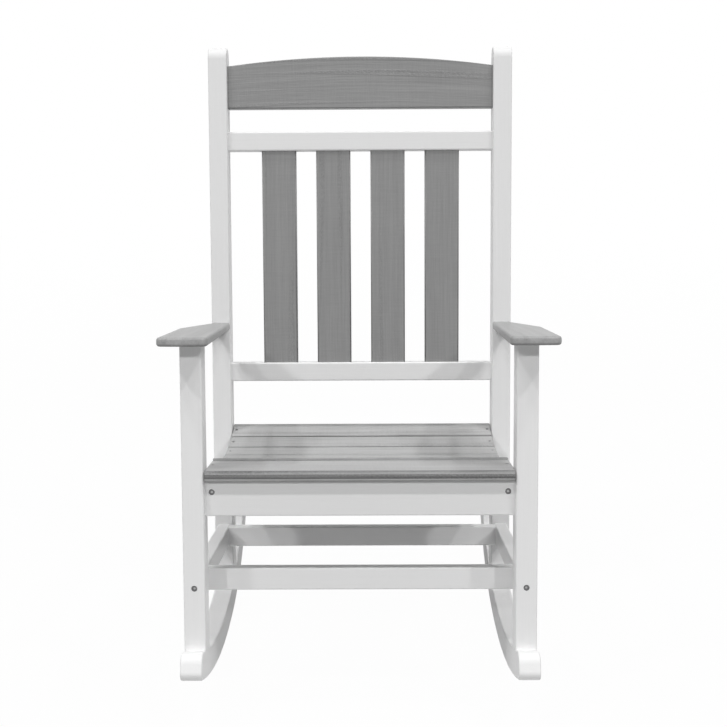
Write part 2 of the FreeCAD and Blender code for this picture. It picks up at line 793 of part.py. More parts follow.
# Screws with their heads sunk below the face they enter
screw_head = (S("screw_head"), S("screw_head_height"))
screw_socket = (S("screw_socket"), S("screw_socket_depth"))
long_screw = fastener("long_screw", S("screw_shank"), *screw_head, S("screw_length"), *screw_socket)
short_screw = fastener("short_screw", S("screw_shank"), *screw_head, S("short_screw_length"), *screw_socket)
arm_screw = fastener("arm_screw", S("screw_shank"), *screw_head, S("arm_screw_length"), *screw_socket)


def screwed(name, template, length, outer, outer_spots, outer_face, outer_depth, target, target_spots, target_face,
            axis, sign, heads):
    # One row of screws: recess and way in the outer board, then a blind hole in the board behind it.
    word = name + "_" + str(len(groups.get(name, [])))
    bores(outer, word + "_recess", axis, outer_face, outer_spots, screw_recess, S("screw_sink"), sign)
    start = plain(outer_face) + S("screw_sink") * float(sign)
    rest = plain(outer_depth) - S("screw_sink")
    bores(outer, word + "_way", axis, start, outer_spots, screw_hole, rest, sign)
    deep = length + S("screw_sink") - plain(outer_depth) + 1.0
    bores(target, word + "_hole", axis, target_face, target_spots, screw_hole, deep, sign)
    group(name, placed(template, heads))


half_gap = S("screw_spacing") / 2.0
crest_up = S("crest_bottom") + S("crest_end_height") / 2.0
crest_gap = S("crest_screw_spacing") / 2.0
lower_up = S("lower_rail_bottom") + rail_half
upper_up = S("upper_rail_bottom") + rail_half
for word, side in SIDES:
    post = nodes["back_post_" + word]
    outer_face = half_frame * float(side)
    seat_x = (half_frame - S("screw_sink")) * float(side)
    facing = V(side, 0, 0)
    # Rails and crest between the posts
    for rail_name, up, gap in (
        ("lower_back_rail", lower_up, half_gap),
        ("upper_back_rail", upper_up, half_gap),
        ("crest_rail", crest_up, crest_gap),
    ):
        outer_spots = [(post_middle, up - gap), (post_middle, up + gap)]
        if rail_name == "crest_rail":
            target_spots = outer_spots
        else:
            target_spots = [(0.0, -gap), (0.0, gap)]
        heads = [(at(seat_x, y, z), facing) for y, z in outer_spots]
        screwed("rail_screws", long_screw, S("screw_length"), post, outer_spots, outer_face, S("frame_thickness"),
                nodes[rail_name], target_spots, inner * float(side), "X", -side, heads)
    # Apron between the legs
    outer_spots = [(apron_middle, apron_up - S("screw_spacing")), (apron_middle, apron_up)]
    heads = [(at(seat_x, y, z), facing) for y, z in outer_spots]
    screwed("apron_screws", long_screw, S("screw_length"), nodes["front_leg_" + word], outer_spots, outer_face,
            S("frame_thickness"), apron, [(0.0, -S("screw_spacing")), (0.0, 0.0)], inner * float(side), "X",
            -side, heads)
    # Side seat rails to the posts, from inside
    seat_rail = nodes["seat_rail_" + word]
    inside = seat_rail_inside * float(side)
    up = rail_under + S("seat_rail_screw_rise")
    outer_spots = [(post_middle, up - half_gap), (post_middle, up + half_gap)]
    seat_x = (seat_rail_inside + S("screw_sink")) * float(side)
    heads = [(at(seat_x, y, z), V(-side, 0, 0)) for y, z in outer_spots]
    screwed("seat_rail_screws", short_screw, S("short_screw_length"), seat_rail, outer_spots, inside,
            S("board_thickness"), post, outer_spots, inner * float(side), "X", side, heads)
    # Rear seat rail between the side seat rails
    outer_spots = [(rear_rail_middle, rear_rail_up - half_gap), (rear_rail_middle, rear_rail_up + half_gap)]
    seat_x = (inner - S("screw_sink")) * float(side)
    heads = [(at(seat_x, y, z), facing) for y, z in outer_spots]
    screwed("seat_rail_screws", short_screw, S("short_screw_length"), seat_rail, outer_spots, inner * float(side),
            S("board_thickness"), nodes["rear_seat_rail"], [(0.0, -half_gap), (0.0, half_gap)],
            seat_rail_inside * float(side), "X", -side, heads)
    # Front and rear stretchers between the side stretchers
    rail = nodes["side_stretcher_" + word]
    rail_x = S("board_thickness") / 2.0 * float(side)
    centre_back = S("leg_depth") + side_length / 2.0
    outside = middle + S("board_thickness") / 2.0
    for name, front in (("front_stretcher", "front_stretcher_front"), ("rear_stretcher", "rear_stretcher_front")):
        back = S(front) + S("board_thickness") / 2.0
        outer_spots = [(back - centre_back, -half_gap), (back - centre_back, half_gap)]
        seat_x = (outside - S("screw_sink")) * float(side)
        heads = [(at(seat_x, back, stretcher_up - half_gap), facing), (at(seat_x, back, stretcher_up + half_gap), facing)]
        screwed("stretcher_screws", long_screw, S("screw_length"), rail, outer_spots, rail_x, S("board_thickness"),
                nodes[name], [(0.0, -half_gap), (0.0, half_gap)], stretcher_inside * float(side), "X", -side, heads)
    # Arms to the posts, from behind
    arm_up = S("arm_underside") + S("arm_thickness") / 2.0
    spot = (middle * float(side), arm_up)
    heads = [(at(spot[0], post_back - S("screw_sink"), arm_up), V(0, 1, 0))]
    screwed("arm_screws", arm_screw, S("arm_screw_length"), post, [spot], post_back, S("post_depth"),
            nodes["arm_" + word], [spot], S("post_front"), "Y", -1, heads)

# Dowels between the front legs and the arms
dowel = pin("arm_dowel", S("dowel_diameter"), S("dowel_length"))
dowel_hole = S("dowel_diameter") + S("dowel_play") * 2.0
for word, side in SIDES:
    spot = (middle * float(side), lag_front)
    in_leg = S("dowel_length") - S("dowel_in_arm")
    bores(nodes["arm_" + word], "dowel_way", "Z", S("arm_underside"), [spot], dowel_hole, S("dowel_in_arm") + 0.5, 1)
    bores(nodes["front_leg_" + word], "dowel_way", "Z", S("arm_underside"), [spot], dowel_hole, in_leg, -1)
    group("arm_dowels", placed(dowel, [(at(spot[0], spot[1], S("arm_underside") - in_leg), V(0, 0, 1))]))

# Lag screws from below, through the rockers into the legs and posts
lag = fastener("lag_screw", S("lag_shank"), S("lag_head"), S("lag_head_height"), S("lag_length"),
               S("lag_socket"), S("lag_socket_depth"))
lag_hole = S("lag_shank") + S("bolt_play")
lag_recess = S("lag_head") + S("bolt_play") * 2.0
for word, side in SIDES:
    rocker = nodes["rocker_" + word]
    x = middle * float(side)
    for label, back, post_name in (("front", lag_front, "front_leg_"), ("rear", lag_rear, "back_post_")):
        if back.number < sizes["tail_start"]:
            reach = back - S("rocker_centre")
            under = S("rocker_radius") - root(S("rocker_radius") * S("rocker_radius") - reach * reach)
        else:
            reach = back - tail_centre_back
            under = tail_centre_up - root(S("tail_radius") * S("tail_radius") - reach * reach)
        top = rocker_top_at(back)
        below = under - 4.0
        bores(rocker, label + "_lag_recess", "Z", below, [(x, back)], lag_recess, S("lag_sink") + 4.0, 1)
        seat = under + S("lag_sink")
        bores(rocker, label + "_lag_way", "Z", seat, [(x, back)], lag_hole, top - seat + 6.0, 1)
        deep = seat + S("lag_length") + 1.0 - top + 6.0
        bores(nodes[post_name + word], label + "_lag_hole", "Z", top - 6.0, [(x, back)], lag_hole, deep, 1)
        group("rocker_lag_screws", placed(lag, [(at(x, back, seat), V(0, 0, -1))]))

# Seat screws, square to each board and into the side seat rails
seat_screw = fastener("seat_screw", S("seat_screw_shank"), S("seat_screw_head"), S("seat_screw_head_height"),
                      S("seat_screw_length"), S("seat_screw_socket"), S("seat_screw_socket_depth"))
seat_hole = S("seat_screw_shank") + S("screw_play")
seat_recess = S("seat_screw_head") + S("screw_play")
seat_x = seat_board_length / 2.0 - S("seat_screw_inset")
half_slat = S("slat_thickness") / 2.0


def slanted_hole(body, word, x, back, up, angle, depth):
    # A round hole square to a tilted board, entered a little above its rest.
    feature = body.newObject("PartDesign::SubtractiveCylinder", body.Name + "_" + word)
    feature.Radius = seat_hole.number / 2.0
    feature.setExpression("Radius", (seat_hole / 2.0).text)
    feature.Height = depth.number
    feature.setExpression("Height", depth.text)
    turn = FreeCAD.Rotation(V(1, 0, 0), angle + 180.0)
    feature.Placement = FreeCAD.Placement(at(x, back, up), turn)
    doc.recompute()


seat_boards = [(nodes["seat_nose_slat"], nose_middle, nose_place[2], plain(0.0), S("nose_screw_back") - nose_middle)]
seat_boards += [(body, back, up, angle, plain(0.0)) for body, back, up, angle in slat_places]
for body, back, up, angle, shift in seat_boards:
    spots = [(-seat_x, shift), (seat_x, shift)]
    bores(body, "screw_recess", "Z", half_slat, spots, seat_recess, S("seat_screw_sink"), -1)
    rest = S("slat_thickness") - S("seat_screw_sink")
    bores(body, "screw_way", "Z", half_slat - S("seat_screw_sink"), spots, seat_hole, rest, -1)
    tilt = angle.number
    outward = V(0, -math.sin(math.radians(tilt)), math.cos(math.radians(tilt)))
    slope = V(0, math.cos(math.radians(tilt)), math.sin(math.radians(tilt)))
    centre = at(0.0, back, up) + slope * shift.number
    head = centre + outward * (half_slat - S("seat_screw_sink")).number
    mouth = centre - outward * (half_slat.number - 3.0)
    deep = S("seat_screw_length") - rest + 4.0
    for word, side in SIDES:
        x = seat_x.number * side
        slanted_hole(nodes["seat_rail_" + word], body.Name + "_screw", x, mouth.y, mouth.z, tilt, deep)
        group("seat_screws", placed(seat_screw, [(V(x, head.y, head.z), outward)]))

for name, copies in groups.items():
    feature = doc.addObject("Part::Feature", name)
    feature.Label = name
    feature.Shape = Part.makeCompound(copies)
    nodes[name] = feature
doc.recompute()

# The chair rests where its weight hangs below the centre of the rockers' long arc.
weight = 0.0
moment = V(0, 0, 0)
for name, item in nodes.items():
    solids = item.Shape.Solids
    density = sizes["steel_weight"] if name in groups and name != "arm_dowels" else sizes["board_weight"]
    for solid in solids:
        weight += solid.Volume * density
        moment += solid.CenterOfMass * (solid.Volume * density)
balance = moment * (1.0 / weight)
lean = math.atan2(balance.y - sizes["rocker_centre"], sizes["rocker_radius"] - balance.z)
print("weight kg", round(weight * 1e-6, 2), "balance", balance, "lean", round(math.degrees(lean), 3))

turn = FreeCAD.Rotation(V(1, 0, 0), -math.degrees(lean))
whole = FreeCAD.BoundBox()
for item in nodes.values():
    shape = item.Shape.copy()
    shape.Placement = FreeCAD.Placement(V(0, 0, 0), turn).multiply(shape.Placement)
    whole.add(shape.optimalBoundingBox(False, False))
shift = V(-whole.Center.x, -whole.Center.y, -whole.ZMin)
frame = FreeCAD.Placement(shift, turn)
for item in nodes.values():
    item.Placement = frame.multiply(item.Placement)
doc.recompute()
print("size", round(whole.XLength, 2), round(whole.YLength, 2), round(whole.ZLength, 2), "shift", shift)

for item in doc.Objects:
    if "Invalid" in item.State or "Error" in item.State:
        raise RuntimeError(item.Label + " is " + str(item.State))
for name, item in nodes.items():
    shape = item.Shape
    if shape.isNull() or not shape.isValid():
        raise RuntimeError(name + " has no valid shape")
    if name not in groups and len(shape.Solids) != 1:
        raise RuntimeError(name + " has " + str(len(shape.Solids)) + " solids")
    shape.exportStep("parts/" + name + ".step")
print("nodes", len(nodes))
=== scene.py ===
import json
import math

import bmesh
import bpy
from mathutils import Matrix, Vector


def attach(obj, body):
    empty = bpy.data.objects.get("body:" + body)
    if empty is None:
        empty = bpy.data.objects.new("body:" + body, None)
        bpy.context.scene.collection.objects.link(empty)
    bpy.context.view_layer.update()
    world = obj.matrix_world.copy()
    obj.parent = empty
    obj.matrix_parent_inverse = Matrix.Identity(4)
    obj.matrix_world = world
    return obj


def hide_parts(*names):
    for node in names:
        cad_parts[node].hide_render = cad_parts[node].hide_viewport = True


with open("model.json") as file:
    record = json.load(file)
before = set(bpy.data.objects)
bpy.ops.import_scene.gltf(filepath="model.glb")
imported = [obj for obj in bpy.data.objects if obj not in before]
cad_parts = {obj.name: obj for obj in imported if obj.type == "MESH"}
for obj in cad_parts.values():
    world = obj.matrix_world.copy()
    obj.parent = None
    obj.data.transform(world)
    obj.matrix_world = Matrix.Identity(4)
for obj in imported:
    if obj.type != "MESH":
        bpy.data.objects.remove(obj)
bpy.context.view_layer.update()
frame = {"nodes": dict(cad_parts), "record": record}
scene = bpy.context.scene
print("frame loaded with", len(frame["nodes"]), "nodes")

# The boards are laid out on a chair that stands square, in metres, and then lean back with it.
# The mount on the left arm gives the lean and the place.
square = {
    "mountName": "arm_left_top",
    "mountSpot": Vector((-0.294, 0.120, 0.6230)),
    "halfFrame": 0.3075,
    "innerHalf": 0.2695,
    "middle": 0.2885,
    "postFront": 0.417,
    "postBack": 0.462,
    "postMiddle": 0.4395,
    "armUnderside": 0.6075,
    "armThickness": 0.0155,
    "noseUnderside": 0.370,
    "slatThickness": 0.019,
}
mount = next(item for item in frame["record"]["mounts"] if item["name"] == square["mountName"])
leanAngle = math.atan2(mount["axis"][1], mount["axis"][2])
leanTurn = Matrix.Rotation(-leanAngle, 4, "X")
chairFrame = Matrix.Translation(Vector(mount["pos_m"]) - leanTurn @ square["mountSpot"]) @ leanTurn


# Node trees

class Sock:  # a node's output that takes part in plain arithmetic
    def __init__(self, sheet, made, output=0):
        self.sheet = sheet
        self.made = made
        self.socket = made.outputs[output] if len(made.outputs) else None

    def other(self, output):
        return Sock(self.sheet, self.made, output)

    def math(self, operation, first, second=None):
        sockets = {0: first} if second is None else {0: first, 1: second}
        return self.sheet.node("ShaderNodeMath", {"operation": operation}, sockets)

    def __add__(self, other):
        return self.math("ADD", self, other)

    def __radd__(self, other):
        return self.math("ADD", other, self)

    def __sub__(self, other):
        return self.math("SUBTRACT", self, other)

    def __rsub__(self, other):
        return self.math("SUBTRACT", other, self)

    def __mul__(self, other):
        return self.math("MULTIPLY", self, other)

    def __truediv__(self, other):
        return self.math("DIVIDE", self, other)

    def __pow__(self, other):
        return self.math("POWER", self, other)

    def least(self, other):
        return self.math("MINIMUM", self, other)

    def most(self, other):
        return self.math("MAXIMUM", self, other)


class Sheet:  # a node tree being filled in
    def __init__(self, tree):
        self.tree = tree

    def node(self, kind, settings=None, sockets=None, output=0):
        made = self.tree.nodes.new(kind)
        for name, value in (settings or {}).items():
            setattr(made, name, value)
        for name, value in (sockets or {}).items():
            if isinstance(value, Sock):
                self.tree.links.new(value.socket, made.inputs[name])
            else:
                made.inputs[name].default_value = value
        return Sock(self, made, output)

    def rise(self, value, low, high):  # 0 below low, 1 above high, smooth between
        settings = {"interpolation_type": "SMOOTHSTEP"}
        return self.node("ShaderNodeMapRange", settings, {"Value": value, "From Min": low, "From Max": high})

    def noise(self, vector, scale, detail=2.0, roughness=0.5, distortion=0.0):
        sockets = {"Vector": vector, "Scale": scale, "Detail": detail}
        sockets.update({"Roughness": roughness, "Distortion": distortion})
        return self.node("ShaderNodeTexNoise", None, sockets)

    def stretch(self, vector, amounts):
        return self.node("ShaderNodeVectorMath", {"operation": "MULTIPLY"}, {0: vector, 1: amounts})

    def shift(self, vector, amounts):
        return self.node("ShaderNodeVectorMath", {"operation": "ADD"}, {0: vector, 1: amounts})

    def scaled(self, colour, amount):
        return self.node("ShaderNodeVectorMath", {"operation": "SCALE"}, {0: colour, "Scale": amount})

    def chance(self, high, seed):  # a number from 0 to high for each copy
        sockets = {2: 0.0, 3: high, "Seed": seed}
        return self.node("FunctionNodeRandomValue", {"data_type": "FLOAT"}, sockets, 1)

    def marked(self, copies, word, value):  # each copy carries a number of its own
        settings = {"data_type": "FLOAT", "domain": "INSTANCE"}
        sockets = {"Geometry": copies, "Name": word, "Value": value}
        return self.node("GeometryNodeStoreNamedAttribute", settings, sockets)


def newMaterial(name):
    material = bpy.data.materials.new(name)
    material.use_nodes = True
    material.node_tree.nodes.clear()
    return material, Sheet(material.node_tree)


def finishMaterial(sheet, surface):
    sheet.node("ShaderNodeOutputMaterial", None, {"Surface": surface})


# Lumber: moulded boards with a brushed grain along their length

whiteLumber = {
    "colour": (0.83, 0.83, 0.83),
    "streaks": 0.030,      # how much the grain lines differ in shade
    "bands": 0.020,
    "crossMarks": 0.010,
    "clouds": 0.018,
    "paintedEdgeLight": 0.015,
    "pits": 0.0,
    "pitShade": 0.0,
    "roughness": 0.46,
    "relief": 0.00012,     # metres
}
greyLumber = {
    "colour": (0.268, 0.268, 0.268),
    "streaks": 0.26,
    "bands": 0.14,
    "crossMarks": 0.12,
    "clouds": 0.07,
    "paintedEdgeLight": -0.20,
    "pits": 0.50,          # speckle inside the rough strips of a board, and on its sawn faces
    "pitShade": 0.08,
    "roughness": 0.44,
    "relief": 0.00035,
}
seatLumber = dict(greyLumber, streaks=0.40, bands=0.34, clouds=0.16, paintedEdgeLight=-0.10)
armLumber = dict(greyLumber, streaks=0.34, bands=0.40, clouds=0.20, paintedEdgeLight=0.04)
grainScales = {  # noise scales per metre: along the grain, then across it both ways
    "wander": (3.0, 9.0, 9.0),
    "fine": (16.0, 760.0, 760.0),
    "coarse": (5.0, 260.0, 260.0),
    "bands": (1.6, 62.0, 62.0),
    "across": (420.0, 26.0, 26.0),
    "clouds": (5.0, 14.0, 14.0),
    "specks": (240.0, 380.0, 380.0),
    "strips": (1.1, 58.0, 58.0),
}
grainTurns = {"X": (0, 0, 0), "Y": (0, 0, -math.pi / 2), "Z": (0, math.pi / 2, 0)}


def lumber(name, finish, board=None):
    # Local places run along the grain in X. New boards carry them, packed boards work them out.
    material, sheet = newMaterial(name)
    paintedLight = 1.0
    sawn = 0.0
    if board is None:
        sawn = sheet.node("ShaderNodeAttribute", {"attribute_name": "sawnFace"}, None, "Fac")
        paintedLight = sheet.node("ShaderNodeAttribute", {"attribute_name": "boardPaintedLight"}, None, "Fac")
        place = sheet.node("ShaderNodeAttribute", {"attribute_name": "grain"}, None, "Vector")
        half = sheet.node("ShaderNodeAttribute", {"attribute_name": "boardHalf"}, None, "Vector")
        seed = sheet.node("ShaderNodeAttribute", {"attribute_name": "boardSeed"}, None, "Fac")
    else:
        spot = sheet.node("ShaderNodeTexCoord", None, None, "Object")
        turned = grainFrame(board).inverted()
        sockets = {"Vector": spot, "Location": turned.to_translation(), "Rotation": turned.to_euler()}
        place = sheet.node("ShaderNodeMapping", None, sockets)
        half = sheet.node("ShaderNodeCombineXYZ", None, dict(zip("XYZ", board["half"])))
        seed = sheet.node("ShaderNodeValue")
        seed.socket.default_value = board["seed"]

    offset = sheet.node("ShaderNodeCombineXYZ", None, {"X": seed * 1.7, "Y": seed * 0.9, "Z": seed * 1.3})
    moved = sheet.shift(place, offset)
    wander = sheet.noise(sheet.stretch(moved, grainScales["wander"]), 1.0, 1.0)
    sockets = {"Y": (wander - 0.5) * 0.012, "Z": (wander - 0.5) * 0.006}
    bend = sheet.node("ShaderNodeCombineXYZ", None, sockets)
    bent = sheet.shift(moved, bend)
    fine = sheet.noise(sheet.stretch(bent, grainScales["fine"]), 1.0, 2.0, 0.55)
    coarse = sheet.noise(sheet.stretch(bent, grainScales["coarse"]), 1.0, 2.0, 0.5)
    bands = sheet.noise(sheet.stretch(bent, grainScales["bands"]), 1.0, 1.0, 0.5)
    across = sheet.noise(sheet.stretch(moved, grainScales["across"]), 1.0, 1.0, 0.5)
    clouds = sheet.noise(sheet.stretch(moved, grainScales["clouds"]), 1.0, 2.0, 0.5)

    # Second smallest distance to the faces: small only near an edge
    near = sheet.node("ShaderNodeVectorMath", {"operation": "ABSOLUTE"}, {0: place})
    inside = sheet.node("ShaderNodeVectorMath", {"operation": "SUBTRACT"}, {0: half, 1: near})
    parts = sheet.node("ShaderNodeSeparateXYZ", None, {0: inside})
    x, y, z = parts, parts.other("Y"), parts.other("Z")
    least = x.least(y).least(z)
    most = x.most(y).most(z)
    second = x + y + z - least - most
    # The edge mask raises the bump and lowers the roughness, and paints light into the colour: a painted
    # highlight where a finish's painted edge light is above zero, painted shade where it is below zero
    edge = 1 - sheet.rise(second + (fine - 0.5) * 0.0016, 0.0008, 0.0042)

    specks = sheet.noise(sheet.stretch(moved, grainScales["specks"]), 1.0, 2.0, 0.6)
    strips = sheet.noise(sheet.stretch(moved, grainScales["strips"]), 1.0, 0.0)
    rough = sheet.rise(strips, 0.62, 0.70) + sawn
    grain = (fine - 0.5) * finish["streaks"] + (coarse - 0.5) * finish["streaks"]
    grain = grain + (bands - 0.5) * finish["bands"] + (across - 0.5) * finish["crossMarks"]
    if finish["pits"]:
        grain = grain + rough * ((specks - 0.5) * finish["pits"] - finish["pitShade"])
    # Each board's colour is multiplied by its painted light: painted top light on the seat and arms, painted
    # shade on the nose front and arm undersides
    shade = (1 + grain + (clouds - 0.5) * finish["clouds"] + edge * finish["paintedEdgeLight"]) * paintedLight
    colour = sheet.scaled(finish["colour"], shade)
    gloss = finish["roughness"] + (coarse - 0.5) * 0.16 + (clouds - 0.5) * 0.10 - edge * 0.05
    height = fine * 0.6 + coarse + bands * 0.6 + across * 0.35 + edge * 0.2
    if finish["pits"]:
        height = height + rough * specks * 1.6
    sockets = {"Height": height, "Distance": finish["relief"], "Strength": 1.0}
    bump = sheet.node("ShaderNodeBump", None, sockets)
    sockets = {"Base Color": colour, "Roughness": gloss, "Normal": bump}
    finishMaterial(sheet, sheet.node("ShaderNodeBsdfPrincipled", None, sockets))
    return material


# Packed boards of the white frame: middle and half size on the square chair, and where their grain runs
whiteBoards = {
    "rocker": {"middle": (0.2885, 0.33, 0.06), "half": (0.45, 0.2, 0.2), "grain": "Y", "pair": True},
    "front_leg": {"middle": (0.2885, 0.0225, 0.3300), "half": (0.2775, 0.0225, 0.0190), "grain": "Z",
                  "pair": True},
    "back_post": {"middle": (0.2885, 0.4395, 0.6200), "half": (0.5610, 0.0225, 0.0190), "grain": "Z",
                  "pair": True},
    "seat_rail": {"middle": (0.2570, 0.2485, 0.3500), "half": (0.2135, 0.0125, 0.2000), "grain": "Y",
                  "pair": True},
    "side_stretcher": {"middle": (0.2885, 0.2310, 0.1820), "half": (0.1860, 0.0125, 0.0200), "grain": "Y",
                       "pair": True},
    "front_apron": {"middle": (0, 0.0225, 0.33875), "half": (0.2695, 0.0125, 0.03125), "grain": "X"},
    "rear_seat_rail": {"middle": (0, 0.4075, 0.3325), "half": (0.2445, 0.0125, 0.0250), "grain": "X"},
    "front_stretcher": {"middle": (0, 0.0745, 0.1820), "half": (0.2760, 0.0125, 0.0200), "grain": "X"},
    "rear_stretcher": {"middle": (0, 0.4005, 0.1820), "half": (0.2760, 0.0125, 0.0200), "grain": "X"},
    "lower_back_rail": {"middle": (0, 0.4395, 0.5205), "half": (0.2695, 0.0150, 0.0190), "grain": "X"},
    "upper_back_rail": {"middle": (0, 0.4395, 0.9922), "half": (0.2695, 0.0150, 0.0190), "grain": "X"},
}


def grainFrame(board):
    turn = Matrix.Rotation(grainTurns[board["grain"]][1], 4, "Y") @ Matrix.Rotation(
        -grainTurns[board["grain"]][2], 4, "Z")
    return chairFrame @ Matrix.Translation(board["middle"]) @ turn


def assignMaterial(piece, material):
    piece.data.materials.clear()
    piece.data.materials.append(material)


seedCount = 0
for name, board in whiteBoards.items():
    sides = (("_left", -1), ("_right", 1)) if board.get("pair") else (("", 1),)
    for word, side in sides:
        seedCount += 1
        middle = Vector(board["middle"])
        middle.x *= side
        placed = dict(board, middle=middle, seed=seedCount * 0.731)
        node = frame["nodes"][name + word]
        node.material_slots[0].material = lumber("whiteLumber_" + name + word, whiteLumber, placed)
print("white frame dressed")

backBoard = lumber("greyLumberBack", greyLumber)
seatBoard = lumber("greyLumberSeat", seatLumber)
armBoard = lumber("greyLumberArm", armLumber)


# Mesh helpers

def addPiece(name, mesh, nodes):
    piece = bpy.data.objects.new(name, mesh)
    scene.collection.objects.link(piece)
    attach(piece, "root")
    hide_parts(*nodes)
    return piece


def plainMesh(piece, name):  # the piece with its modifiers worked in
    bpy.context.view_layer.update()
    shown = piece.evaluated_get(bpy.context.evaluated_depsgraph_get())
    mesh = bpy.data.meshes.new_from_object(shown)
    mesh.name = name
    return mesh


def looseObject(name, mesh):
    thing = bpy.data.objects.new(name, mesh)
    scene.collection.objects.link(thing)
    return thing


def throwAway(*things):
    for thing in things:
        bpy.data.objects.remove(thing)


def meshFrom(shape, name):
    bmesh.ops.remove_doubles(shape, verts=shape.verts, dist=1e-7)
    bmesh.ops.recalc_face_normals(shape, faces=shape.faces)
    mesh = bpy.data.meshes.new(name)
    shape.to_mesh(mesh)
    shape.free()
    mesh.shade_smooth()
    return mesh


def storeVectors(mesh, name, vectors):
    layer = mesh.attributes.new(name, "FLOAT_VECTOR", "POINT")
    layer.data.foreach_set("vector", [number for vector in vectors for number in vector])


def storeNumbers(mesh, name, numbers):
    layer = mesh.attributes.new(name, "FLOAT", "POINT")
    layer.data.foreach_set("value", numbers)


def storeValue(mesh, name, value):  # one number for the whole board
    storeNumbers(mesh, name, [value] * len(mesh.vertices))


def evenShading(mesh, name):  # flats stay flat beside their rounded edges
    thing = looseObject(name, mesh)
    weighted = thing.modifiers.new("flats", "WEIGHTED_NORMAL")
    weighted.weight = 100
    weighted.thresh = 0.001
    weighted.keep_sharp = True
    result = plainMesh(thing, name)
    throwAway(thing)
    return result


def prism(outline, low, high):
    # A closed flat outline drawn up between two heights
    shape = bmesh.new()
    rings = [[shape.verts.new((x, y, z)) for x, y in outline] for z in (low, high)]
    count = len(outline)
    shape.faces.new(list(reversed(rings[0])))
    shape.faces.new(rings[1])
    for index in range(count):
        after = (index + 1) % count
        shape.faces.new((rings[0][index], rings[0][after], rings[1][after], rings[1][index]))
    return shape


def roundOff(shape, edges, radius, steps=4):
    bmesh.ops.bevel(shape, geom=list(edges), offset=radius, segments=steps, profile=0.5, affect="EDGES")


def drilled(mesh, name, spots, radius, top, depth):
    # Screw recesses, cut straight down from a flat top
    board = looseObject(name, mesh)
    shape = bmesh.new()
    for x, y in spots:
        place = Matrix.Translation((x, y, top - depth / 2 + 0.001))
        bmesh.ops.create_cone(shape, cap_ends=True, segments=32, radius1=radius, radius2=radius,
                              depth=depth + 0.002, matrix=place)
    cutter = looseObject(name + "Cutter", meshFrom(shape, name + "Cutter"))
    cut = board.modifiers.new("recess", "BOOLEAN")
    cut.operation = "DIFFERENCE"
    cut.solver = "EXACT"
    cut.object = cutter
    result = plainMesh(board, name)
    throwAway(board, cutter)
    return result


def straightBoard(name, length, width, thickness, longRound, endRound, screwSpots=(), screwRadius=0.0,
                  sink=0.0):
    # A board about its own middle: length on X, width on Y, thickness on Z
    endX, sideY = length / 2, width / 2
    corners = [(-endX, -sideY), (endX, -sideY), (endX, sideY), (-endX, sideY)]
    shape = prism(corners, -thickness / 2, thickness / 2)
    longEdges = [edge for edge in shape.edges if abs(edge.verts[0].co.x - edge.verts[1].co.x) > endX]
    if longRound == endRound:
        roundOff(shape, shape.edges, longRound)
    else:
        roundOff(shape, longEdges, longRound)
        if endRound:
            ends = [edge for edge in shape.edges if min(abs(v.co.x) for v in edge.verts) > endX - 1e-6]
            roundOff(shape, ends, endRound, 3)
    mesh = meshFrom(shape, name)
    if screwSpots:
        mesh = drilled(mesh, name, screwSpots, screwRadius, thickness / 2, sink)
    mesh = evenShading(mesh, name)
    storeVectors(mesh, "grain", [vertex.co.copy() for vertex in mesh.vertices])
    storeVectors(mesh, "boardHalf", [(length / 2, width / 2, thickness / 2)] * len(mesh.vertices))
    return mesh


# Geometry Nodes helpers

def newTree(name, inputs):
    tree = bpy.data.node_groups.new(name, "GeometryNodeTree")
    tree.interface.new_socket("Geometry", in_out="OUTPUT", socket_type="NodeSocketGeometry")
    tree.interface.new_socket("Geometry", in_out="INPUT", socket_type="NodeSocketGeometry")
    for word, kind in inputs:
        tree.interface.new_socket(word, in_out="INPUT", socket_type="NodeSocket" + kind)
    sheet = Sheet(tree)
    return sheet, sheet.node("NodeGroupInput")


def closeTree(sheet, geometry, material):
    whole = sheet.node("GeometryNodeRealizeInstances", None, {"Geometry": geometry})
    dressed = sheet.node("GeometryNodeSetMaterial", None, {"Geometry": whole, "Material": material})
    sheet.node("NodeGroupOutput", None, {"Geometry": dressed})


def grown(mesh, sheet, values, name):
    # The tree's result as a plain mesh, leaning with the chair
    thing = looseObject(name, mesh)
    modifier = thing.modifiers.new(name, "NODES")
    modifier.node_group = sheet.tree
    for item in sheet.tree.interface.items_tree:
        if item.item_type == "SOCKET" and item.in_out == "INPUT" and item.name in values:
            modifier[item.identifier] = values[item.name]
    result = plainMesh(thing, name)
    throwAway(thing)
    result.transform(chairFrame)
    return result


# Seat: six boards on an arc of the scoop, and a wider nose board in front

seat = {
    "boardLength": 0.538,
    "slatWidth": 0.053,
    "slatRound": 0.0025,
    "slatCount": 6,
    "centreDepth": 0.265,
    "centreHeight": 0.850,
    "scoopRadius": 0.480,
    "rearAngle": math.radians(20.05),
    "stepAngle": math.radians(6.92),
    "noseFront": -0.004,
    "noseWidth": 0.114,
    "noseRound": 0.005,
    "noseScrewDepth": 0.065,
    "screwInset": 0.008,
    "screwRecess": 0.0033,
    "screwSink": 0.0033,
    "seed": 4,
    "paintedLight": 1.45,           # painted top light: the seat boards drawn lighter than the back boards
    "noseTopPaintedLight": 1.62,        # painted light and shade of the nose board: painted top light, painted shade on the upper and lower front
    "noseUpperPaintedShade": 0.90,
    "noseLowerPaintedShade": 0.52,
    "noseUnderPaintedShade": 0.7,       # painted shade: how much darker the lower rounding is where it faces down
    "noseSpread": 1.5,      # how far the sawn front and its painted shade reach round its edges
    "noseSeed": 61.3,
}


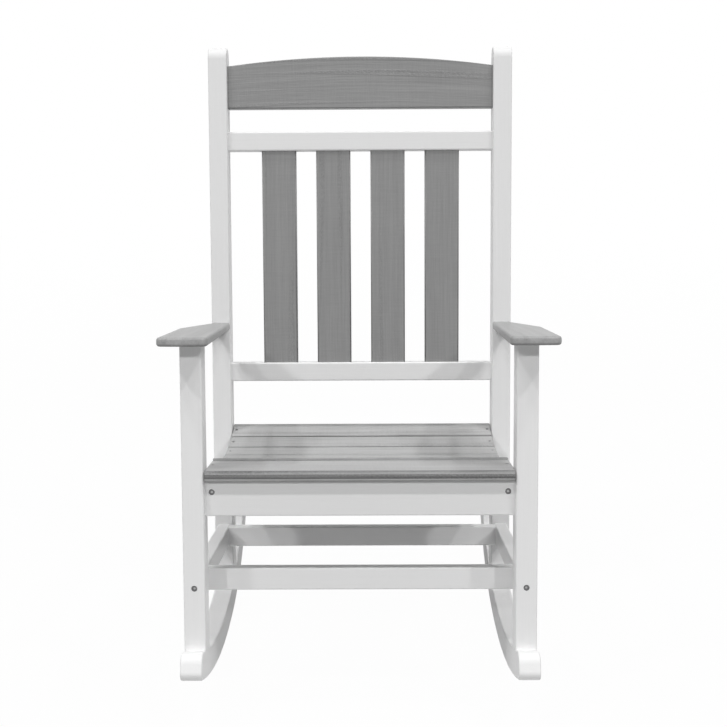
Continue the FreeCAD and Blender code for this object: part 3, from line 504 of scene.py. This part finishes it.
def arcOfBoards():
    words = [("Boards", "Int"), ("Centre Depth", "Float"), ("Centre Height", "Float"), ("Radius", "Float")]
    words += [("Rear Angle", "Float"), ("Step Angle", "Float"), ("Seed", "Int"), ("Material", "Material")]
    sheet, given = newTree("boardsOnArc", words)
    index = sheet.node("GeometryNodeInputIndex")
    angle = given.other("Rear Angle") - given.other("Step Angle") * index
    depth = given.other("Centre Depth") + given.other("Radius") * angle.math("SINE", angle)
    height = given.other("Centre Height") - given.other("Radius") * angle.math("COSINE", angle)
    spot = sheet.node("ShaderNodeCombineXYZ", None, {"Y": depth, "Z": height})
    points = sheet.node("GeometryNodePoints", None, {"Count": given.other("Boards"), "Position": spot})
    turn = sheet.node("ShaderNodeCombineXYZ", None, {"X": angle})
    sockets = {"Points": points, "Instance": given.other("Geometry"), "Rotation": turn}
    boards = sheet.node("GeometryNodeInstanceOnPoints", None, sockets)
    kept = sheet.marked(boards, "boardSeed", sheet.chance(40.0, given.other("Seed")))
    closeTree(sheet, kept, given.other("Material"))
    return sheet


def sawAndShadeNoseFront(nose):
    # The nose board's front is sawn and rough; painted shade draws it darker than its top, and darkest low
    # down
    paintedLights = []
    shares = []
    for vertex in nose.vertices:
        front = min(1.0, max(0.0, -vertex.normal.y * seat["noseSpread"], -vertex.normal.z))
        low = seat["noseUpperPaintedShade"]
        if vertex.co.z <= 0:
            low = seat["noseLowerPaintedShade"] * (1 + vertex.normal.z * seat["noseUnderPaintedShade"])
        paintedLights.append(seat["noseTopPaintedLight"] + (low - seat["noseTopPaintedLight"]) * front)
        shares.append(front)
    storeNumbers(nose, "boardPaintedLight", paintedLights)
    storeNumbers(nose, "sawnFace", shares)


def makeSeat():
    thickness = square["slatThickness"]
    screwX = seat["boardLength"] / 2 - seat["screwInset"]
    spots = [(-screwX, 0), (screwX, 0)]
    slat = straightBoard("seatSlat", seat["boardLength"], seat["slatWidth"], thickness, seat["slatRound"],
                         seat["slatRound"], spots, seat["screwRecess"], seat["screwSink"])
    storeValue(slat, "boardPaintedLight", seat["paintedLight"])
    storeValue(slat, "sawnFace", 0.0)
    values = {
        "Boards": seat["slatCount"],
        "Centre Depth": seat["centreDepth"],
        "Centre Height": seat["centreHeight"],
        "Radius": seat["scoopRadius"] + thickness / 2,
        "Rear Angle": seat["rearAngle"],
        "Step Angle": seat["stepAngle"],
        "Seed": seat["seed"],
        "Material": seatBoard,
    }
    slats = grown(slat, arcOfBoards(), values, "seatSlats")
    addPiece("seatSlats", slats, ["seat_slat_" + str(number) for number in range(2, 8)])

    noseMiddle = seat["noseFront"] + seat["noseWidth"] / 2
    spots = [(side * screwX, seat["noseScrewDepth"] - noseMiddle) for side in (-1, 1)]
    nose = straightBoard("seatNose", seat["boardLength"], seat["noseWidth"], thickness, seat["noseRound"],
                         seat["slatRound"], spots, seat["screwRecess"], seat["screwSink"])
    storeValue(nose, "boardSeed", seat["noseSeed"])
    sawAndShadeNoseFront(nose)
    nose.transform(chairFrame @ Matrix.Translation((0, noseMiddle, square["noseUnderside"] + thickness / 2)))
    assignMaterial(addPiece("seatNose", nose, ["seat_nose_slat"]), seatBoard)


makeSeat()
print("seat boards laid")

# Back: four upright slats between the rails

back = {
    "slatWidth": 0.070,
    "slatRound": 0.0025,
    "slatStep": 0.111,
    "slatCount": 4,
    "foot": 0.5295,
    "head": 0.9822,
    "seed": 11,
    "paintedLight": 1.0,
}


def rowOfBoards():
    words = [("Boards", "Int"), ("Step", "Float"), ("Depth", "Float"), ("Height", "Float")]
    words += [("Seed", "Int"), ("Material", "Material")]
    sheet, given = newTree("boardsInRow", words)
    index = sheet.node("GeometryNodeInputIndex")
    column = (index - (given.other("Boards") - 1) / 2) * given.other("Step")
    sockets = {"X": column, "Y": given.other("Depth"), "Z": given.other("Height")}
    spot = sheet.node("ShaderNodeCombineXYZ", None, sockets)
    points = sheet.node("GeometryNodePoints", None, {"Count": given.other("Boards"), "Position": spot})
    upright = Vector((0, -math.pi / 2, math.pi / 2))
    sockets = {"Points": points, "Instance": given.other("Geometry"), "Rotation": upright}
    boards = sheet.node("GeometryNodeInstanceOnPoints", None, sockets)
    kept = sheet.marked(boards, "boardSeed", sheet.chance(40.0, given.other("Seed")))
    closeTree(sheet, kept, given.other("Material"))
    return sheet


def makeBack():
    length = back["head"] - back["foot"]
    slat = straightBoard("backSlat", length, back["slatWidth"], square["slatThickness"], back["slatRound"], 0)
    storeValue(slat, "boardPaintedLight", back["paintedLight"])
    storeValue(slat, "sawnFace", 0.0)
    values = {
        "Boards": back["slatCount"],
        "Step": back["slatStep"],
        "Depth": square["postMiddle"],
        "Height": back["foot"] + length / 2,
        "Seed": back["seed"],
        "Material": backBoard,
    }
    slats = grown(slat, rowOfBoards(), values, "backSlats")
    addPiece("backSlats", slats, ["back_slat_" + str(number) for number in range(1, 5)])


makeBack()
print("back slats stood up")


# Crest: the arched board between the posts

crest = {
    "bottom": 1.058,
    "endHeight": 0.0852,
    "rise": 0.0183,
    "thickness": 0.025,
    "round": 0.003,
    "steps": 24,
    # painted light: the crest drawn a little lighter than the back slats
    "paintedLight": 1.03,
    "seed": 23.7,
}


def roundedSection(low, high, half, radius, steps):
    # A board's cut end: from low to high, half its thickness either way, with rounded corners
    corners = ((high - radius, half - radius), (low + radius, half - radius))
    corners += ((low + radius, radius - half), (high - radius, radius - half))
    points = []
    for index, (y, z) in enumerate(corners):
        for step in range(steps + 1):
            angle = math.pi / 2 * (index + step / steps)
            points.append((y + radius * math.cos(angle), z + radius * math.sin(angle)))
    return points


def makeCrest():
    half = square["innerHalf"]
    rise = crest["rise"]
    radius = (half * half + rise * rise) / (2 * rise)
    end = crest["bottom"] + crest["endHeight"]
    reach = math.asin(half / radius)
    shape = bmesh.new()
    columns = []
    for step in range(crest["steps"] + 1):
        angle = reach - 2 * reach * step / crest["steps"]
        x = radius * math.sin(angle)
        level = end + rise - radius * (1 - math.cos(angle))
        section = roundedSection(crest["bottom"], level, crest["thickness"] / 2, crest["round"], 4)
        columns.append([shape.verts.new((x, y, z)) for y, z in section])
    for first, last in zip(columns, columns[1:]):
        for index in range(len(first)):
            after = (index + 1) % len(first)
            shape.faces.new((first[index], first[after], last[after], last[index]))
    for column in (columns[0], columns[-1]):
        for edge in shape.faces.new(column).edges:
            edge.smooth = False
    mesh = evenShading(meshFrom(shape, "crestRail"), "crestRail")
    grain = []
    halves = []
    for vertex in mesh.vertices:
        x, y, z = vertex.co
        level = end + rise - radius + math.sqrt(radius * radius - x * x)
        grain.append((x, y - (level + crest["bottom"]) / 2, z))
        halves.append((half, (level - crest["bottom"]) / 2, crest["thickness"] / 2))
    storeVectors(mesh, "grain", grain)
    storeVectors(mesh, "boardHalf", halves)
    storeValue(mesh, "boardSeed", crest["seed"])
    storeValue(mesh, "boardPaintedLight", crest["paintedLight"])
    storeValue(mesh, "sawnFace", 0.0)
    # The board was drawn lying down: it stands up with its front towards the seat
    stand = Matrix.Translation((0, square["postMiddle"], 0)) @ Matrix.Rotation(math.pi / 2, 4, "X")
    mesh.transform(chairFrame @ stand)
    assignMaterial(addPiece("crestRail", mesh, ["crest_rail"]), backBoard)


makeCrest()
print("crest set")

# Arms: broad flat boards, widest over the hand's rest

arm = {
    "front": -0.048,
    "bulge": 0.005,
    "innerFront": 0.252,
    "innerRear": 0.270,
    "outerFront": 0.3385,
    "outerKink": 0.345,
    "outerRear": 0.305,
    "kink": 0.230,
    "edgeRound": 0.005,
    "frontCorner": 0.010,
    "kinkRound": 0.045,
    "rearCorner": 0.008,
    "fade": 0.008,
    # painted light and shade: the arm board drawn lighter than the back boards, and darker where it faces
    # down
    "paintedLight": 1.26,
    "underPaintedShade": 0.62,
    "grainMiddle": 0.2985,   # metres from the chair's middle
    "grainHalf": 0.0465,
    "grainPast": 0.020,
    "seeds": {"left": 26.6, "right": 37.2},
}


def cornerArc(before, corner, after, radius, steps):
    # Points of a rounding of the corner between two straight runs
    inward = (before - corner).normalized()
    outward = (after - corner).normalized()
    half = inward.angle(outward) / 2
    reach = radius / math.tan(half)
    centre = corner + (inward + outward).normalized() * (radius / math.sin(half))
    start = corner + inward * reach - centre
    stop = corner + outward * reach - centre
    sweep = start.angle_signed(stop)
    points = []
    for step in range(steps + 1):
        turn = Matrix.Rotation(-sweep * step / steps, 2)
        points.append(centre + turn @ start)
    return points


def kinkEnd(kink, outerRear):  # the spot on the outer side where the rounding starts to fade
    return outerRear + (kink - outerRear).normalized() * arm["fade"] * 1.05


def armOutline():
    half = (arm["outerFront"] - arm["innerFront"]) / 2
    radius = (half * half + arm["bulge"] ** 2) / (2 * arm["bulge"])
    middle = Vector(((arm["outerFront"] + arm["innerFront"]) / 2, arm["front"] - arm["bulge"] + radius))
    reach = math.asin(half / radius)
    front = []
    for step in range(1, 8):
        angle = -reach + 2 * reach * step / 8
        front.append(middle + Vector((math.sin(angle), -math.cos(angle))) * radius)
    innerFront = Vector((arm["innerFront"], arm["front"]))
    outerFront = Vector((arm["outerFront"], arm["front"]))
    kink = Vector((arm["outerKink"], arm["kink"]))
    outerRear = Vector((arm["outerRear"], square["postFront"]))
    innerRear = Vector((arm["innerRear"], square["postFront"]))
    points = cornerArc(innerRear, innerFront, front[0], arm["frontCorner"], 6)
    points += front[1:-1]
    points += cornerArc(front[-1], outerFront, kink, arm["frontCorner"], 6)
    points += cornerArc(outerFront, kink, outerRear, arm["kinkRound"], 6)
    points += [kinkEnd(kink, outerRear), outerRear]
    points += cornerArc(outerRear, innerRear, innerFront, arm["rearCorner"], 6)
    return points


def softSlab(outline, thickness, radius, steps):
    # A flat board with rounded edges, built in rings. The rounding fades out where the board meets the post.
    count = len(outline)
    points = [Vector(point) for point in outline]
    area = sum(points[i - 1].x * points[i].y - points[i].x * points[i - 1].y for i in range(count))
    turned = 1 if area > 0 else -1
    inward = []
    for index in range(count):
        before = (points[index] - points[index - 1]).normalized()
        after = (points[(index + 1) % count] - points[index]).normalized()
        first = Vector((-before.y, before.x)) * turned
        last = Vector((-after.y, after.x)) * turned
        middle = (first + last).normalized()
        fade = min(1.0, max(0.0, square["postFront"] - points[index].y) / arm["fade"])
        inward.append(middle / max(0.5, middle.dot(last)) * fade)
    levels = []
    for step in range(steps + 1):
        angle = math.pi / 2 * step / steps
        levels.append((radius * (1 - math.sin(angle)), radius * (1 - math.cos(angle))))
    levels += [(inset, thickness - level) for inset, level in reversed(levels)]
    shape = bmesh.new()
    rings = []
    for inset, level in levels:
        ring = []
        for point, way in zip(points, inward):
            place = point + way * inset
            ring.append(shape.verts.new((place.x, place.y, level)))
        rings.append(ring)
    for lower, upper in zip(rings, rings[1:]):
        for index in range(count):
            after = (index + 1) % count
            shape.faces.new((lower[index], lower[after], upper[after], upper[index]))
    shape.faces.new(list(reversed(rings[0])))
    shape.faces.new(rings[-1])
    return shape


def makeArms():
    thickness = square["armThickness"]
    length = square["postFront"] - arm["front"]
    for word, side in (("left", -1), ("right", 1)):
        outline = [(point.x * side, point.y) for point in armOutline()]
        if side < 0:
            outline.reverse()
        shape = softSlab(outline, thickness, arm["edgeRound"], 5)
        mesh = evenShading(meshFrom(shape, "arm" + word), "arm" + word)
        grain = []
        halves = []
        for vertex in mesh.vertices:
            x, y, z = vertex.co
            grain.append((y - arm["front"] - length / 2, abs(x) - arm["grainMiddle"], z - thickness / 2))
            halves.append((length / 2 + arm["grainPast"], arm["grainHalf"], thickness / 2))
        storeVectors(mesh, "grain", grain)
        storeVectors(mesh, "boardHalf", halves)
        storeValue(mesh, "boardSeed", arm["seeds"][word])
        # Painted shade: the colour falls towards the under painted shade where the surface faces down
        change = arm["underPaintedShade"] - arm["paintedLight"]
        paintedLights = [arm["paintedLight"] + change * max(0.0, -vertex.normal.z) for vertex in mesh.vertices]
        storeNumbers(mesh, "boardPaintedLight", paintedLights)
        storeValue(mesh, "sawnFace", 0.0)
        mesh.transform(chairFrame @ Matrix.Translation((0, 0, square["armUnderside"])))
        name = "armBoard" + word.capitalize()
        assignMaterial(addPiece(name, mesh, ["arm_" + word]), armBoard)


makeArms()
print("arms placed")


# Fasteners: one turned shape for each kind, set out on points that carry which way a head faces

steel = {
    "colour": (0.17, 0.17, 0.172),
    "socketColour": (0.42, 0.42, 0.42),
    "roughness": 0.34,
    "turning": 0.10,
    "relief": 0.00003,
}


def steelMaterial(name, finish, socket):
    material, sheet = newMaterial(name)
    spot = sheet.node("ShaderNodeAttribute", {"attribute_name": "grain"}, None, "Vector")
    seed = sheet.node("ShaderNodeAttribute", {"attribute_name": "boardSeed"}, None, "Fac")
    parts = sheet.node("ShaderNodeSeparateXYZ", None, {0: spot})
    across = parts * parts + parts.other("Y") * parts.other("Y")
    radius = across ** 0.5
    sockets = {"X": radius * 4200, "Y": seed, "Z": parts.other("Z") * 900}
    rings = sheet.node("ShaderNodeCombineXYZ", None, sockets)
    turned = sheet.noise(rings, 1.0, 1.0)
    specks = sheet.noise(sheet.stretch(spot, (900.0, 900.0, 900.0)), 1.0, 2.0)
    shade = 1 + (turned - 0.5) * finish["turning"] * 2 + (specks - 0.5) * 0.25
    # The socket is drawn brighter than the head
    socketShare = 1 - sheet.rise(radius + (specks - 0.5) * 0.0006, socket * 0.30, socket * 0.50)
    sockets = {0: socketShare, 6: (*finish["colour"], 1), 7: (*finish["socketColour"], 1)}
    mixed = sheet.node("ShaderNodeMix", {"data_type": "RGBA"}, sockets, 2)
    colour = sheet.scaled(mixed, shade)
    gloss = finish["roughness"] + (turned - 0.5) * finish["turning"] + (specks - 0.5) * 0.12
    height = turned + specks * 0.5
    sockets = {"Height": height, "Distance": finish["relief"], "Strength": 0.6}
    bump = sheet.node("ShaderNodeBump", None, sockets)
    sockets = {"Base Color": colour, "Roughness": gloss, "Normal": bump, "Metallic": 1.0}
    finishMaterial(sheet, sheet.node("ShaderNodeBsdfPrincipled", None, sockets))
    return material


fasteners = {
    "bolt": {"shank": 0.006, "head": 0.010, "headHeight": 0.006, "socket": 0.005, "socketDepth": 0.003},
    "screw": {"shank": 0.005, "head": 0.009, "headHeight": 0.0035, "socket": 0.0035, "socketDepth": 0.002},
    "seatScrew": {"shank": 0.004, "head": 0.0064, "headHeight": 0.0025, "socket": 0.0025,
                  "socketDepth": 0.0014},
    "segments": 36,
    "seed": 7,
}

boltSteel = steelMaterial("boltSteel", steel, fasteners["bolt"]["socket"])
screwSteel = steelMaterial("screwSteel", steel, fasteners["seatScrew"]["socket"] * 0.6)


def turnedFastener(kind, length):
    # Rings from the tip of the shank up over the head and down its hexagonal socket
    size = fasteners[kind]
    shank = size["shank"] / 2
    head = size["head"] / 2
    top = size["headHeight"]
    ease = min(0.0008, top * 0.2)
    flat = size["socket"] / 2
    floor = top - size["socketDepth"]
    rings = [(shank - 0.0006, -length, False), (shank, -length + 0.0006, False), (shank, -0.0004, False),
             (shank + 0.0004, 0, False), (head - 0.0002, 0, False), (head, 0.0002, False)]
    for step in range(4):
        angle = math.pi / 2 * step / 3
        rings.append((head - ease * (1 - math.cos(angle)), top - ease + ease * math.sin(angle), False))
    rings += [(flat + 0.0007, top, False), (flat + 0.0002, top, True), (flat, top - 0.0002, True),
              (flat, floor, True), (flat * 0.5, floor - 0.0002, False)]
    shape = bmesh.new()
    count = fasteners["segments"]
    made = []
    for radius, height, hexagonal in rings:
        ring = []
        for index in range(count):
            angle = 2 * math.pi * index / count
            reach = radius
            if hexagonal:
                reach = radius / math.cos((angle + math.pi / 6) % (math.pi / 3) - math.pi / 6)
            ring.append(shape.verts.new((reach * math.cos(angle), reach * math.sin(angle), height)))
        made.append(ring)
    for lower, upper in zip(made, made[1:]):
        for index in range(count):
            after = (index + 1) % count
            shape.faces.new((lower[index], lower[after], upper[after], upper[index]))
    shape.faces.new(list(reversed(made[0])))
    shape.faces.new(made[-1])
    mesh = bpy.data.meshes.new(kind)
    bmesh.ops.recalc_face_normals(shape, faces=shape.faces)
    shape.to_mesh(mesh)
    shape.free()
    mesh.shade_smooth()
    mesh.set_sharp_from_angle(angle=math.radians(40))
    storeVectors(mesh, "grain", [vertex.co.copy() for vertex in mesh.vertices])
    return mesh


def fastenersOnPoints():
    words = [("Fastener", "Object"), ("Seed", "Int"), ("Material", "Material")]
    sheet, given = newTree("fastenersOnPoints", words)
    settings = {"data_type": "FLOAT_VECTOR"}
    facing = sheet.node("GeometryNodeInputNamedAttribute", settings, {"Name": "facing"})
    turn = sheet.node("FunctionNodeAlignRotationToVector", {"axis": "Z"}, {"Vector": facing})
    model = sheet.node("GeometryNodeObjectInfo", None, {"Object": given.other("Fastener")}, "Geometry")
    points = sheet.node("GeometryNodeMeshToPoints", None, {"Mesh": given.other("Geometry")})
    sockets = {"Points": points, "Instance": model, "Rotation": turn}
    placed = sheet.node("GeometryNodeInstanceOnPoints", None, sockets)
    spin = sheet.chance(2 * math.pi, given.other("Seed"))
    turned = sheet.node("ShaderNodeCombineXYZ", None, {"Z": spin})
    spun = sheet.node("GeometryNodeRotateInstances", None, {"Instances": placed, "Rotation": turned})
    kept = sheet.marked(spun, "boardSeed", spin)
    closeTree(sheet, kept, given.other("Material"))
    return sheet


fastenerTree = fastenersOnPoints()


def setFasteners(name, kind, length, spots, node):
    mesh = bpy.data.meshes.new(name + "Points")
    mesh.from_pydata([spot for spot, facing in spots], [], [])
    storeVectors(mesh, "facing", [facing for spot, facing in spots])
    model = looseObject(name + "Model", turnedFastener(kind, length))
    material = boltSteel if kind == "bolt" else screwSteel
    values = {"Fastener": model, "Seed": fasteners["seed"], "Material": material}
    result = grown(mesh, fastenerTree, values, name)
    throwAway(model)
    addPiece(name, result, [node])


layout = {
    "legBoltHeight": 0.182,
    "apronBoltX": 0.257,
    "apronBoltHeight": 0.350,
    "boltSink": 0.0065,
    "boltPastNut": 0.053,
    "apronFront": 0.010,
    "legDepth": 0.045,
    "boardThickness": 0.025,
    "screwSink": 0.008,
    "screwGap": 0.010,
    "crestGap": 0.024,
    "crestHeight": 1.1006,
    "lowerRail": 0.5205,
    "upperRail": 0.9922,
    "apronDepth": 0.0225,
    "apronHeight": 0.33875,
    "rearRailDepth": 0.4075,
    "rearRailHeight": 0.3325,
    "seatRailScrewHeight": 0.332,
    "stretcherHeight": 0.182,
    "stretcherDepths": (0.0745, 0.4005),
    "seatRailInside": 0.2445,
}


def bothSides(spots):
    # The same spots on the left and the right, mirrored
    result = []
    for side in (-1, 1):
        for spot, facing in spots:
            result.append(((spot[0] * side, spot[1], spot[2]), (facing[0] * side, facing[1], facing[2])))
    return result


def makeFasteners():
    middle = square["middle"]
    sink = layout["boltSink"]
    legLength = layout["legDepth"] + layout["boltPastNut"] - sink
    apronLength = layout["boardThickness"] + layout["boltPastNut"] - sink
    front, rear, out, inward = (0, -1, 0), (0, 1, 0), (1, 0, 0), (-1, 0, 0)
    spots = bothSides([((middle, sink, layout["legBoltHeight"]), front)])
    setFasteners("legBolts", "bolt", legLength, spots, "leg_bolts")
    spots = bothSides([((middle, square["postBack"] - sink, layout["legBoltHeight"]), rear)])
    setFasteners("postBolts", "bolt", legLength, spots, "post_bolts")
    spot = (layout["apronBoltX"], layout["apronFront"] + sink, layout["apronBoltHeight"])
    spots = bothSides([(spot, front)])
    setFasteners("apronBolts", "bolt", apronLength, spots, "apron_bolts")

    sink = layout["screwSink"]
    gap = layout["screwGap"]
    outside = square["halfFrame"] - sink
    depth = square["postMiddle"]
    heights = [layout["lowerRail"] - gap, layout["lowerRail"] + gap, layout["upperRail"] - gap,
               layout["upperRail"] + gap, layout["crestHeight"] - layout["crestGap"],
               layout["crestHeight"] + layout["crestGap"]]
    spots = bothSides([((outside, depth, z), out) for z in heights])
    setFasteners("railScrews", "screw", 0.060, spots, "rail_screws")
    heights = (layout["apronHeight"] - 2 * gap, layout["apronHeight"])
    spots = bothSides([((outside, layout["apronDepth"], z), out) for z in heights])
    setFasteners("apronScrews", "screw", 0.060, spots, "apron_screws")
    spots = []
    for lift in (-gap, gap):
        x = layout["seatRailInside"] + sink
        spots.append(((x, depth, layout["seatRailScrewHeight"] + lift), inward))
        x = square["innerHalf"] - sink
        spots.append(((x, layout["rearRailDepth"], layout["rearRailHeight"] + lift), out))
    setFasteners("seatRailScrews", "screw", 0.045, bothSides(spots), "seat_rail_screws")
    spots = []
    for back in layout["stretcherDepths"]:
        for lift in (-gap, gap):
            x = middle + layout["boardThickness"] / 2 - sink
            spots.append(((x, back, layout["stretcherHeight"] + lift), out))
    setFasteners("stretcherScrews", "screw", 0.060, bothSides(spots), "stretcher_screws")
    height = square["armUnderside"] + square["armThickness"] / 2
    spots = bothSides([((middle, square["postBack"] - sink, height), rear)])
    setFasteners("armScrews", "screw", 0.080, spots, "arm_screws")

    # Seat screws stand square to each board
    thickness = square["slatThickness"]
    x = seat["boardLength"] / 2 - seat["screwInset"]
    level = square["noseUnderside"] + thickness - seat["screwSink"]
    spots = [((x, seat["noseScrewDepth"], level), (0, 0, 1))]
    reach = seat["scoopRadius"] + seat["screwSink"]
    for index in range(seat["slatCount"]):
        angle = seat["rearAngle"] - seat["stepAngle"] * index
        back = seat["centreDepth"] + reach * math.sin(angle)
        up = seat["centreHeight"] - reach * math.cos(angle)
        spots.append(((x, back, up), (0, -math.sin(angle), math.cos(angle))))
    setFasteners("seatScrews", "seatScrew", 0.030, bothSides(spots), "seat_screws")


makeFasteners()
print("fasteners set")


# What stays hidden inside: nuts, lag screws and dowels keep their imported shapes

def dowelWood():
    material, sheet = newMaterial("dowelBeech")
    spot = sheet.node("ShaderNodeTexCoord", None, None, "Object")
    fibres = sheet.noise(sheet.stretch(spot, (900.0, 900.0, 40.0)), 1.0, 2.0)
    flecks = sheet.noise(sheet.stretch(spot, (300.0, 300.0, 120.0)), 1.0, 1.0)
    shade = 1 + (fibres - 0.5) * 0.4 + (flecks - 0.5) * 0.2
    colour = sheet.scaled((0.55, 0.42, 0.28), shade)
    bump = sheet.node("ShaderNodeBump", None, {"Height": fibres, "Distance": 0.0002, "Strength": 0.6})
    sockets = {"Base Color": colour, "Roughness": 0.6 + (fibres - 0.5) * 0.2, "Normal": bump}
    finishMaterial(sheet, sheet.node("ShaderNodeBsdfPrincipled", None, sockets))
    return material


def nutSteel():
    material, sheet = newMaterial("nutSteel")
    spot = sheet.node("ShaderNodeTexCoord", None, None, "Object")
    specks = sheet.noise(sheet.stretch(spot, (700.0, 700.0, 700.0)), 1.0, 2.0)
    colour = sheet.scaled((0.42, 0.42, 0.43), 1 + (specks - 0.5) * 0.3)
    bump = sheet.node("ShaderNodeBump", None, {"Height": specks, "Distance": 0.00005, "Strength": 0.5})
    gloss = 0.35 + (specks - 0.5) * 0.2
    sockets = {"Base Color": colour, "Roughness": gloss, "Normal": bump, "Metallic": 1.0}
    finishMaterial(sheet, sheet.node("ShaderNodeBsdfPrincipled", None, sockets))
    return material


frame["nodes"]["arm_dowels"].material_slots[0].material = dowelWood()
hiddenSteel = nutSteel()
for name in ("barrel_nuts", "rocker_lag_screws"):
    frame["nodes"][name].material_slots[0].material = hiddenSteel
print("hidden fittings dressed")


# Stage: a pale floor that keeps the shadow, a white surround and soft lamps

studio = {
    "floorSize": 60.0,
    "floorColour": (0.55, 0.55, 0.55, 1),
    "floorWhite": 0.98,    # how much of the floor's look is plain white near the chair
    "floorFade": (1.5, 4.5),  # metres from the chair over which it turns all white
    "skyLevel": 0.13,
    "lampDistance": 4.0,
    "lamps": {  # far soft lamps: degrees round from the front, degrees up, softness and strength
        "leftKey": {"round": -66.0, "up": 58.0, "soft": 3.0, "strength": 0.72},
        "rightKey": {"round": 66.0, "up": 58.0, "soft": 3.0, "strength": 0.72},
        "leftFront": {"round": -30.0, "up": 33.0, "soft": 3.0, "strength": 0.50},
        "rightFront": {"round": 30.0, "up": 33.0, "soft": 3.0, "strength": 0.50},
        "leftHigh": {"round": -95.0, "up": 70.0, "soft": 5.0, "strength": 0.68},
        "rightHigh": {"round": 95.0, "up": 70.0, "soft": 5.0, "strength": 0.68},
    },
}


def seenDirectly(sheet):
    path = sheet.node("ShaderNodeLightPath", None, None, "Is Camera Ray")
    return path.most(path.other("Is Glossy Ray")).most(path.other("Is Transmission Ray"))


def makeFloor():
    size = studio["floorSize"] / 2
    shape = bmesh.new()
    corners = [shape.verts.new((x * size, y * size, 0)) for x, y in ((-1, -1), (1, -1), (1, 1), (-1, 1))]
    shape.faces.new(corners)
    mesh = bpy.data.meshes.new("floor")
    shape.to_mesh(mesh)
    shape.free()
    floor = looseObject("floor", mesh)
    material, sheet = newMaterial("paleFloor")
    plain = sheet.node("ShaderNodeBsdfDiffuse", None, {"Color": studio["floorColour"]})
    white = sheet.node("ShaderNodeEmission", None, {"Strength": 1.0})
    spot = sheet.node("ShaderNodeTexCoord", None, None, "Object")
    away = sheet.node("ShaderNodeVectorMath", {"operation": "LENGTH"}, {0: spot}, "Value")
    far = sheet.rise(away, *studio["floorFade"])
    share = studio["floorWhite"] + far * (1 - studio["floorWhite"])
    sockets = {0: seenDirectly(sheet) * share, 1: plain, 2: white}
    finishMaterial(sheet, sheet.node("ShaderNodeMixShader", None, sockets))
    floor.data.materials.append(material)


def makeWorld():
    world = bpy.data.worlds.new("whiteSurround")
    scene.world = world
    world.use_nodes = True
    world.node_tree.nodes.clear()
    sheet = Sheet(world.node_tree)
    level = studio["skyLevel"] + seenDirectly(sheet) * (1 - studio["skyLevel"])
    sky = sheet.node("ShaderNodeBackground", None, {"Color": (1, 1, 1, 1), "Strength": level})
    sheet.node("ShaderNodeOutputWorld", None, {"Surface": sky})


def makeLamps():
    for name, lamp in studio["lamps"].items():
        light = bpy.data.lights.new(name, "SUN")
        light.angle = math.radians(lamp["soft"])
        light.energy = lamp["strength"]
        holder = looseObject(name, light)
        turn, rise = math.radians(lamp["round"]), math.radians(lamp["up"])
        level = math.cos(rise)
        towards = Vector((math.sin(turn) * level, -math.cos(turn) * level, math.sin(rise)))
        holder.location = towards * studio["lampDistance"]
        holder.rotation_euler = towards.to_track_quat("Z", "Y").to_euler()


makeFloor()
makeWorld()
makeLamps()

# Camera: measured against the square chair, so it leans with it
cameraSize = {
    "lens": 58.18,
    "sensor": 36.0,
    "place": Vector((0.022, -1.998, 0.749)),
    "pitch": math.radians(-5.0),
    "yaw": math.radians(-0.415),
    "roll": math.radians(-0.275),
}


def makeCamera():
    lens = bpy.data.cameras.new("photoCamera")
    lens.lens = cameraSize["lens"]
    lens.sensor_width = cameraSize["sensor"]
    lens.clip_start = 0.05
    camera = looseObject("photoCamera", lens)
    turn = Matrix.Rotation(-cameraSize["yaw"], 4, "Z")
    turn = turn @ Matrix.Rotation(math.pi / 2 + cameraSize["pitch"], 4, "X")
    turn = turn @ Matrix.Rotation(cameraSize["roll"], 4, "Z")
    camera.matrix_world = chairFrame @ Matrix.Translation(cameraSize["place"]) @ turn
    scene.camera = camera


makeCamera()
scene.view_settings.view_transform = "Standard"
print("stage, lamps and camera ready")
